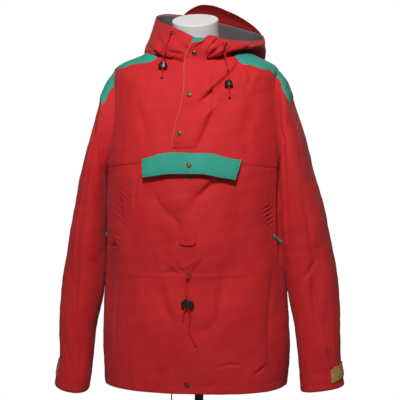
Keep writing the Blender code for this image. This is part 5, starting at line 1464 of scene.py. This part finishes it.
def makeTube(name, points, radii, finish, sides=14, up=(0.0, -1.0, 0.0)):
    # a closed tube along points, with its braid's own coordinates
    points = np.asarray(points, float)
    way = np.gradient(points, axis=0)
    way /= np.linalg.norm(way, axis=1, keepdims=True)
    up = np.array(up) if abs(way[0] @ up) < 0.9 else np.array((1.0, 0.0, 0.0))
    along = lengthsAlong(points)
    rings, uv, frames = [], [], []
    for direction in way:
        up = up - direction * (up @ direction)
        up /= np.linalg.norm(up)
        frames.append((up, np.cross(direction, up)))
    angles = np.linspace(0, 2 * np.pi, sides, endpoint=False)
    for point, radius, (a, b), length in zip(points, radii, frames, along):
        rings.append(point + radius * (np.cos(angles)[:, None] * a + np.sin(angles)[:, None] * b))
        uv += [(k / sides, length) for k in range(sides)]
    made = np.concatenate(rings).tolist()
    count = len(points)
    faces = ringQuads(count, sides)
    first, last = len(made), len(made) + 1
    made += [(points[0] - way[0] * radii[0] * 0.4).tolist(), (points[-1] + way[-1] * radii[-1] * 0.4).tolist()]
    uv += [(0.5, 0.0), (0.5, along[-1])]
    faces += [(first, (k + 1) % sides, k) for k in range(sides)]
    base = (count - 1) * sides
    faces += [(last, base + k, base + (k + 1) % sides) for k in range(sides)]
    piece = meshObject(name, made, faces, finish, uv)
    layer = piece.data.uv_layers["cloth"]
    for face in piece.data.polygons:  # the braid closes round the tube
        us = [layer.data[i].uv[0] for i in face.loop_indices]
        if max(us) - min(us) > 0.6:
            for i in face.loop_indices:
                if layer.data[i].uv[0] < 0.4:
                    layer.data[i].uv[0] += 1.0
    return piece


def liftedRoute(skin, route):
    return np.array([skin.front(x, z)[0] - (0, lift, 0) for x, z, lift in route])


def cordPoints(route, spacing=0.0016):
    along = lengthsAlong(route)
    return smoothCurve(along, route, np.linspace(0, along[-1], round(along[-1] / spacing) + 1))


cords, lockPlaces = {}, {}


def makeCord(name, route, end):
    line = cordPoints(route)
    radii = np.full(len(line), cordRadius)
    if end == "knot":
        tail = lengthsAlong(line[::-1])[::-1]
        spots = np.linspace(knotLength, 0, len(knotSwell))[::-1]
        radii *= np.where(tail < knotLength, np.interp(tail, spots, knotSwell[::-1]), 1.0)
    cords[name] = SimpleNamespace(piece=makeTube(name, line, radii, "cord"), line=line.tolist())
    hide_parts(name)


for name, cord in cordRoutes.items():
    route = liftedRoute(topSkin, cord["route"])
    lockPlaces[name] = route[cord["lock"]], route[cord["lock"] + 1]
    makeCord(name, route, cord["end"])
piped, collar = sheets["placket"], sheets["hood_right"]
freeEdge, throat = piped.outer[:, 0], collar.outer[len(collar.outer) * 2 // 3:, -1]
pipingRadius, throatRadius = 0.0005, 0.0006
makeTube("placket_piping", freeEdge - (0.0003, 0.0, 0.0) - piped.outward[:, 0] * pipingRadius,
         np.full(len(freeEdge), pipingRadius), "edging", 8)
makeTube("throat_piping", throat + (0.0005, -0.0004, 0.0), np.full(len(throat), throatRadius), "edging", 8)
hemY = bodyPoint(np.radians(hemCord["angle"]), 0.0)[1] - hemCord["inFront"]
makeCord("hem_cord", np.array([(x, hemY, hemHeight + z) for x, z in hemCord["route"]]), hemCord["end"])
print("cords made")

# trims, modelled once and copied

# turned pieces: how each face is worked, as insets of (thickness, depth) and plain heights to raise
trimForms = {
    # a cap with a rolled rim round a shallow crown
    "snap": {"finish": "brass", "sides": 40, "radius": 0.0056, "height": 0.0016, "bevel": 0.00022, "segments": 2,
             "gap": 0.0006, "upper": ((0.0009, 0), (0.00045, -0.00048), (0.00108, 0.00055), (0.00108, 0.0003),
                                      (0.00081, 0.0001))},
    # the lower half of a snap: a disc, a socket wall and its post
    "stud": {"finish": "brass", "sides": 36, "radius": 0.0048, "height": 0.0008, "bevel": 0.00015, "segments": 2,
             "gap": 0.0006, "upper": ((0.0012, 0), (0.0006, -0.0003), (0.0009, 0), 0.0013, (0.0005, 0.0002))},
    # a turned rim that rolls into its hole
    "eyelet": {"finish": "brass", "sides": 40, "radius": 0.0052, "height": 0.0018, "bevel": 0.0006, "segments": 3,
               "gap": 0.0003, "hole": 0.0030},
    # a barrel, a waist and a push button on top
    "lock": {"finish": "black_plastic", "sides": 32, "radius": 0.0046, "height": 0.0090, "bevel": 0.0005,
             "segments": 3, "upper": ((0.001196, 0), 0.0012, (-0.000644, 0), 0.0030, (0.001012, 0.0004)),
             "lower": ((0.00138, 0.0006),), "drop": -0.0015},
}


def workFaces(piece, chosen, steps):
    bpy.ops.object.mode_set(mode="EDIT")
    bpy.ops.mesh.select_mode(type="FACE")
    bpy.ops.mesh.select_all(action="DESELECT")
    bpy.ops.object.mode_set(mode="OBJECT")
    for face in piece.data.polygons:
        face.select = chosen(face.normal.z)
    bpy.ops.object.mode_set(mode="EDIT")
    for step in steps:
        if isinstance(step, tuple):
            bpy.ops.mesh.inset(thickness=step[0], depth=step[1])
        else:
            bpy.ops.mesh.extrude_region_move(TRANSFORM_OT_translate={"value": (0, 0, step)})


def makeTurned(name, form, place=(0, 0, 0)):
    bpy.ops.object.select_all(action="DESELECT")
    bpy.ops.mesh.primitive_cylinder_add(vertices=form["sides"], radius=form["radius"], depth=form["height"],
                                        location=place)
    piece = bpy.context.object
    bpy.ops.object.transform_apply(location=True)
    if "upper" in form:
        workFaces(piece, lambda up: up > 0.9, form["upper"])
    if "lower" in form:
        workFaces(piece, lambda up: up < -0.9, form["lower"])
    if "hole" in form:
        workFaces(piece, lambda up: abs(up) > 0.9, ((form["radius"] - form["hole"], 0),))
        bpy.ops.mesh.bridge_edge_loops()
    bpy.ops.object.mode_set(mode="OBJECT")
    rounding = piece.modifiers.new("rounding", "BEVEL")
    rounding.width, rounding.segments, rounding.limit_method = form["bevel"], form["segments"], "ANGLE"
    bpy.ops.object.modifier_apply(modifier="rounding")
    bpy.ops.object.shade_smooth_by_angle(angle=math.radians(40))
    piece.name = piece.data.name = name
    piece.data.materials.clear()
    piece.data.materials.append(finishes[form["finish"]])
    return piece


def copyTo(kind, name, place, axis, out=(1, 0, 0), widen=1.0, drop=0.0):
    # a copy with a mesh of its own, stood on its place
    axis, out = Vector(axis).normalized(), Vector(out)
    across = out.cross(axis).normalized()
    turned = Matrix((across, axis.cross(across), axis)).transposed().to_4x4()
    mesh = patterns[kind].data.copy()
    mesh.transform(Matrix.Translation(Vector(place)) @ turned @ Matrix.Diagonal((widen, 1, 1, 1))
                   @ Matrix.Translation((0, 0, drop)))
    mesh.name = name
    piece = bpy.data.objects.new(name, mesh)
    bpy.context.scene.collection.objects.link(piece)
    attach(piece, "root")
    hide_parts(name)
    return piece


# trims by x and height above the hem, and the cord locks by their cords and how wide they are
trimPlaces = {
    "snap_placket_1": ("snap", -0.0148, 0.5685), "snap_placket_2": ("snap", 0.0041, 0.6517),
    "snap_placket_3": ("snap", 0.0107, 0.7405), "snap_flap": ("snap", 0.0084, 0.5013),
    "snap_hem": ("snap", 0.0007, 0.0264), "stud_flap": ("stud", 0.0098, 0.4745),
    "eyelet_hood_left": ("eyelet", 0.0761, 0.7594), "eyelet_hood_right": ("eyelet", -0.0450, 0.7856),
    "eyelet_waist": ("eyelet", 0.0055, 0.2642),
}
locks = {
    "hood_lock_left": (("hood_cord_left",), 1.9), "hood_lock_right": (("hood_cord_right",), 2.1),
    "waist_lock": (("waist_cord_short", "waist_cord_long"), 3.1),
}
patterns = {kind: makeTurned(f"{kind}Pattern", form) for kind, form in trimForms.items()}
for name, (kind, x, z) in trimPlaces.items():
    place, normal = topSkin.front(x, z, 0.004)
    copyTo(kind, name, place + normal * trimForms[kind]["gap"], normal)
lockPieces = {}
for name, (through, widen) in locks.items():
    top, bottom = (np.mean([lockPlaces[cord][i] for cord in through], axis=0) for i in (0, 1))
    lockPieces[name] = copyTo("lock", name, (top + bottom) / 2, top - bottom, (0, -1, 0), widen,
                              trimForms["lock"]["drop"])
for pattern in patterns.values():
    bpy.data.objects.remove(pattern)
print("trims placed")

# stitches

goingWith = {"front_lower": ["pocket_welt_left", "pocket_welt_right"], "placket": ["placket_piping"],
             "hood_right": ["throat_piping"]}
threadOf = {"red_cloth": "redThread", "green_cloth": "greenThread", "grey_knit": "greyThread",
            "tan_leather": "tanThread"}
# rows of stitches: edge, how far in, and, if they are shorter, from which share of the edge to which
panelRows = ("lastColumn", 0.0026), ("firstColumn", 0.0026)
tabSeams = ("firstRow", 0.0028), ("lastRow", 0.0028), ("firstColumn", 0.0028)
sleeveSeams = ("firstRow", 0.0036), ("lastRow", 0.0150), ("firstColumn", 0.0030), ("lastColumn", 0.0030)
sewing = {
    "front_lower": (("firstRow", 0.0185), ("lastRow", 0.0034), ("lastRow", 0.0090), ("firstColumn", 0.0032),
                    ("lastColumn", 0.0032)),
    "front_yoke": (("firstRow", 0.0034), ("firstColumn", 0.0034), ("lastColumn", 0.0034)),
    "back": (("firstRow", 0.0185), ("firstColumn", 0.0034), ("lastColumn", 0.0034), ("lastRow", 0.0034)),
    "pouch_pocket": (("firstRow", 0.0065),),
    "pocket_flap": [(edge, 0.0040) for edge in everyEdge],
    "placket": (("firstColumn", 0.0050), ("firstRow", 0.0040), ("firstRow", 0.0190),
                ("lastColumn", 0.0050, 0, 0.9)),
    "shoulder_panel_left": panelRows, "shoulder_panel_right": panelRows,
    "sleeve_head_left": [(edge, 0.0026) for edge in everyEdge[1:]],
    "sleeve_head_right": [(edge, 0.0026) for edge in everyEdge[1:]],
    "hood_left": (("lastRow", 0.0028), ("lastRow", 0.0160), ("lastColumn", 0.0030)),
    "hood_centre": (("lastRow", 0.0160), ("firstColumn", 0.0030), ("lastColumn", 0.0030)),
    "hood_right": (("lastRow", 0.0028), ("lastRow", 0.0160), ("firstColumn", 0.0030)),
    "hood_lining_left": (("firstColumn", 0.0020), ("lastColumn", 0.0020)),
    "hood_peak": (("lastRow", 0.0035), ("lastRow", 0.0110, 0.05, 0.95)),
    "badge": [(edge, 0.0032) for edge in everyEdge],
    "cuff_tab_left": tabSeams, "cuff_tab_right": tabSeams,
    "sleeve_left_front": sleeveSeams, "sleeve_left_back": sleeveSeams,
    "sleeve_right_front": sleeveSeams, "sleeve_right_back": sleeveSeams,
}
for name, rows in sewing.items():
    sewLines(f"{name}_stitches", [alongEdge(name, *row) for row in rows], threadOf[sheets[name].finish])
    goingWith.setdefault(name, []).append(f"{name}_stitches")
print("stitches sewn:", len(sewing), "pieces")

# the torso form and its stand

formRows = Rows("level inset", (
    (0.14, 0.040), (0.25, 0.038), (0.36, 0.040), (0.48, 0.032),
    (0.60, 0.024), (0.72, 0.018), (0.84, 0.013), (1.00, 0.012),
))
# the neck's capped top: shares of its height and of its radius
neckProfile = [(s, 1.0) for s in np.linspace(0, 0.955, 12)]
neckProfile += [(0.978, 0.996), (0.992, 0.984), (1.0, 0.966), (1.0, 0.93), (0.998, 0.80), (0.998, 0.40)]
neckForm = {"radius": 0.0515, "foot": (0.0, -0.004, 0.770), "top": (0.0, -0.022, 0.818), "tilt": math.radians(19)}


def makeForm(form, columns=96):
    angles = np.linspace(0, 2 * np.pi, columns, endpoint=False)
    rings = []
    for level in np.linspace(formRows.keys[0], formRows.keys[-1], 60):
        ring = bodyPoint(angles, level + 0 * angles)
        out = (ring - (0, bodyY, 0)) * (1, 1, 0)
        rings.append(ring - out / np.linalg.norm(out, axis=1, keepdims=True) * formRows.at(level).inset)
    foot, top = np.array(form["foot"]), np.array(form["top"])
    for share, size in neckProfile:
        radius = form["radius"] * size
        y, z = np.sin(angles) * radius * math.cos(form["tilt"]), np.sin(angles) * radius * math.sin(form["tilt"])
        middle = foot + (top - foot) * share + (0, 0, hemHeight)
        rings.append(np.stack((middle[0] + np.cos(angles) * radius, middle[1] + y, middle[2] + z), axis=1))
    points = np.concatenate(rings).tolist()
    faces = ringQuads(len(rings), columns)
    faces += [tuple(range(columns))[::-1], tuple(range(len(points) - columns, len(points)))]
    piece = meshObject("form_torso", points, faces, "white_form")
    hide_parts("form_torso")


baseForm = {"finish": "black_metal", "sides": 128, "radius": 0.150, "height": 0.011, "bevel": 0.0018,
            "segments": 3, "upper": ((0.006, 0), (0.100, 0))}
poleForm = {"x": 0.004, "y": 0.012, "radius": 0.0078, "collar": 0.0100, "collarTop": 0.075, "step": 0.0012,
            "gap": 0.0005}


def makeStand(base, pole, formBottom):
    foot, top = base["height"] + pole["gap"], formBottom - pole["gap"]
    tube = {"finish": "black_metal", "sides": 48, "radius": pole["collar"], "height": pole["collarTop"] - foot,
            "upper": ((pole["collar"] - pole["radius"], pole["step"]), top - pole["collarTop"] - pole["step"]),
            "bevel": 0.0006, "segments": 2}
    middle = (pole["x"], pole["y"], (pole["collarTop"] + foot) / 2)
    for piece, node in ((makeTurned("stand_base_plate", base, (0, 0, base["height"] / 2)), "stand_base"),
                        (makeTurned("stand_pole_tube", tube, middle), "stand_pole")):
        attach(piece, "root")
        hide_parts(node)


makeForm(neckForm)
makeStand(baseForm, poleForm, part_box("form_torso")[0].z)
print("form and stand made")

# the locks, looked up by their cords

for name, cord in {**cordRoutes, "hem_cord": hemCord}.items():
    # each lock is looked up under the last of its cords
    [lockPieces[lock] for lock, (through, _) in locks.items() if through[-1] == name]
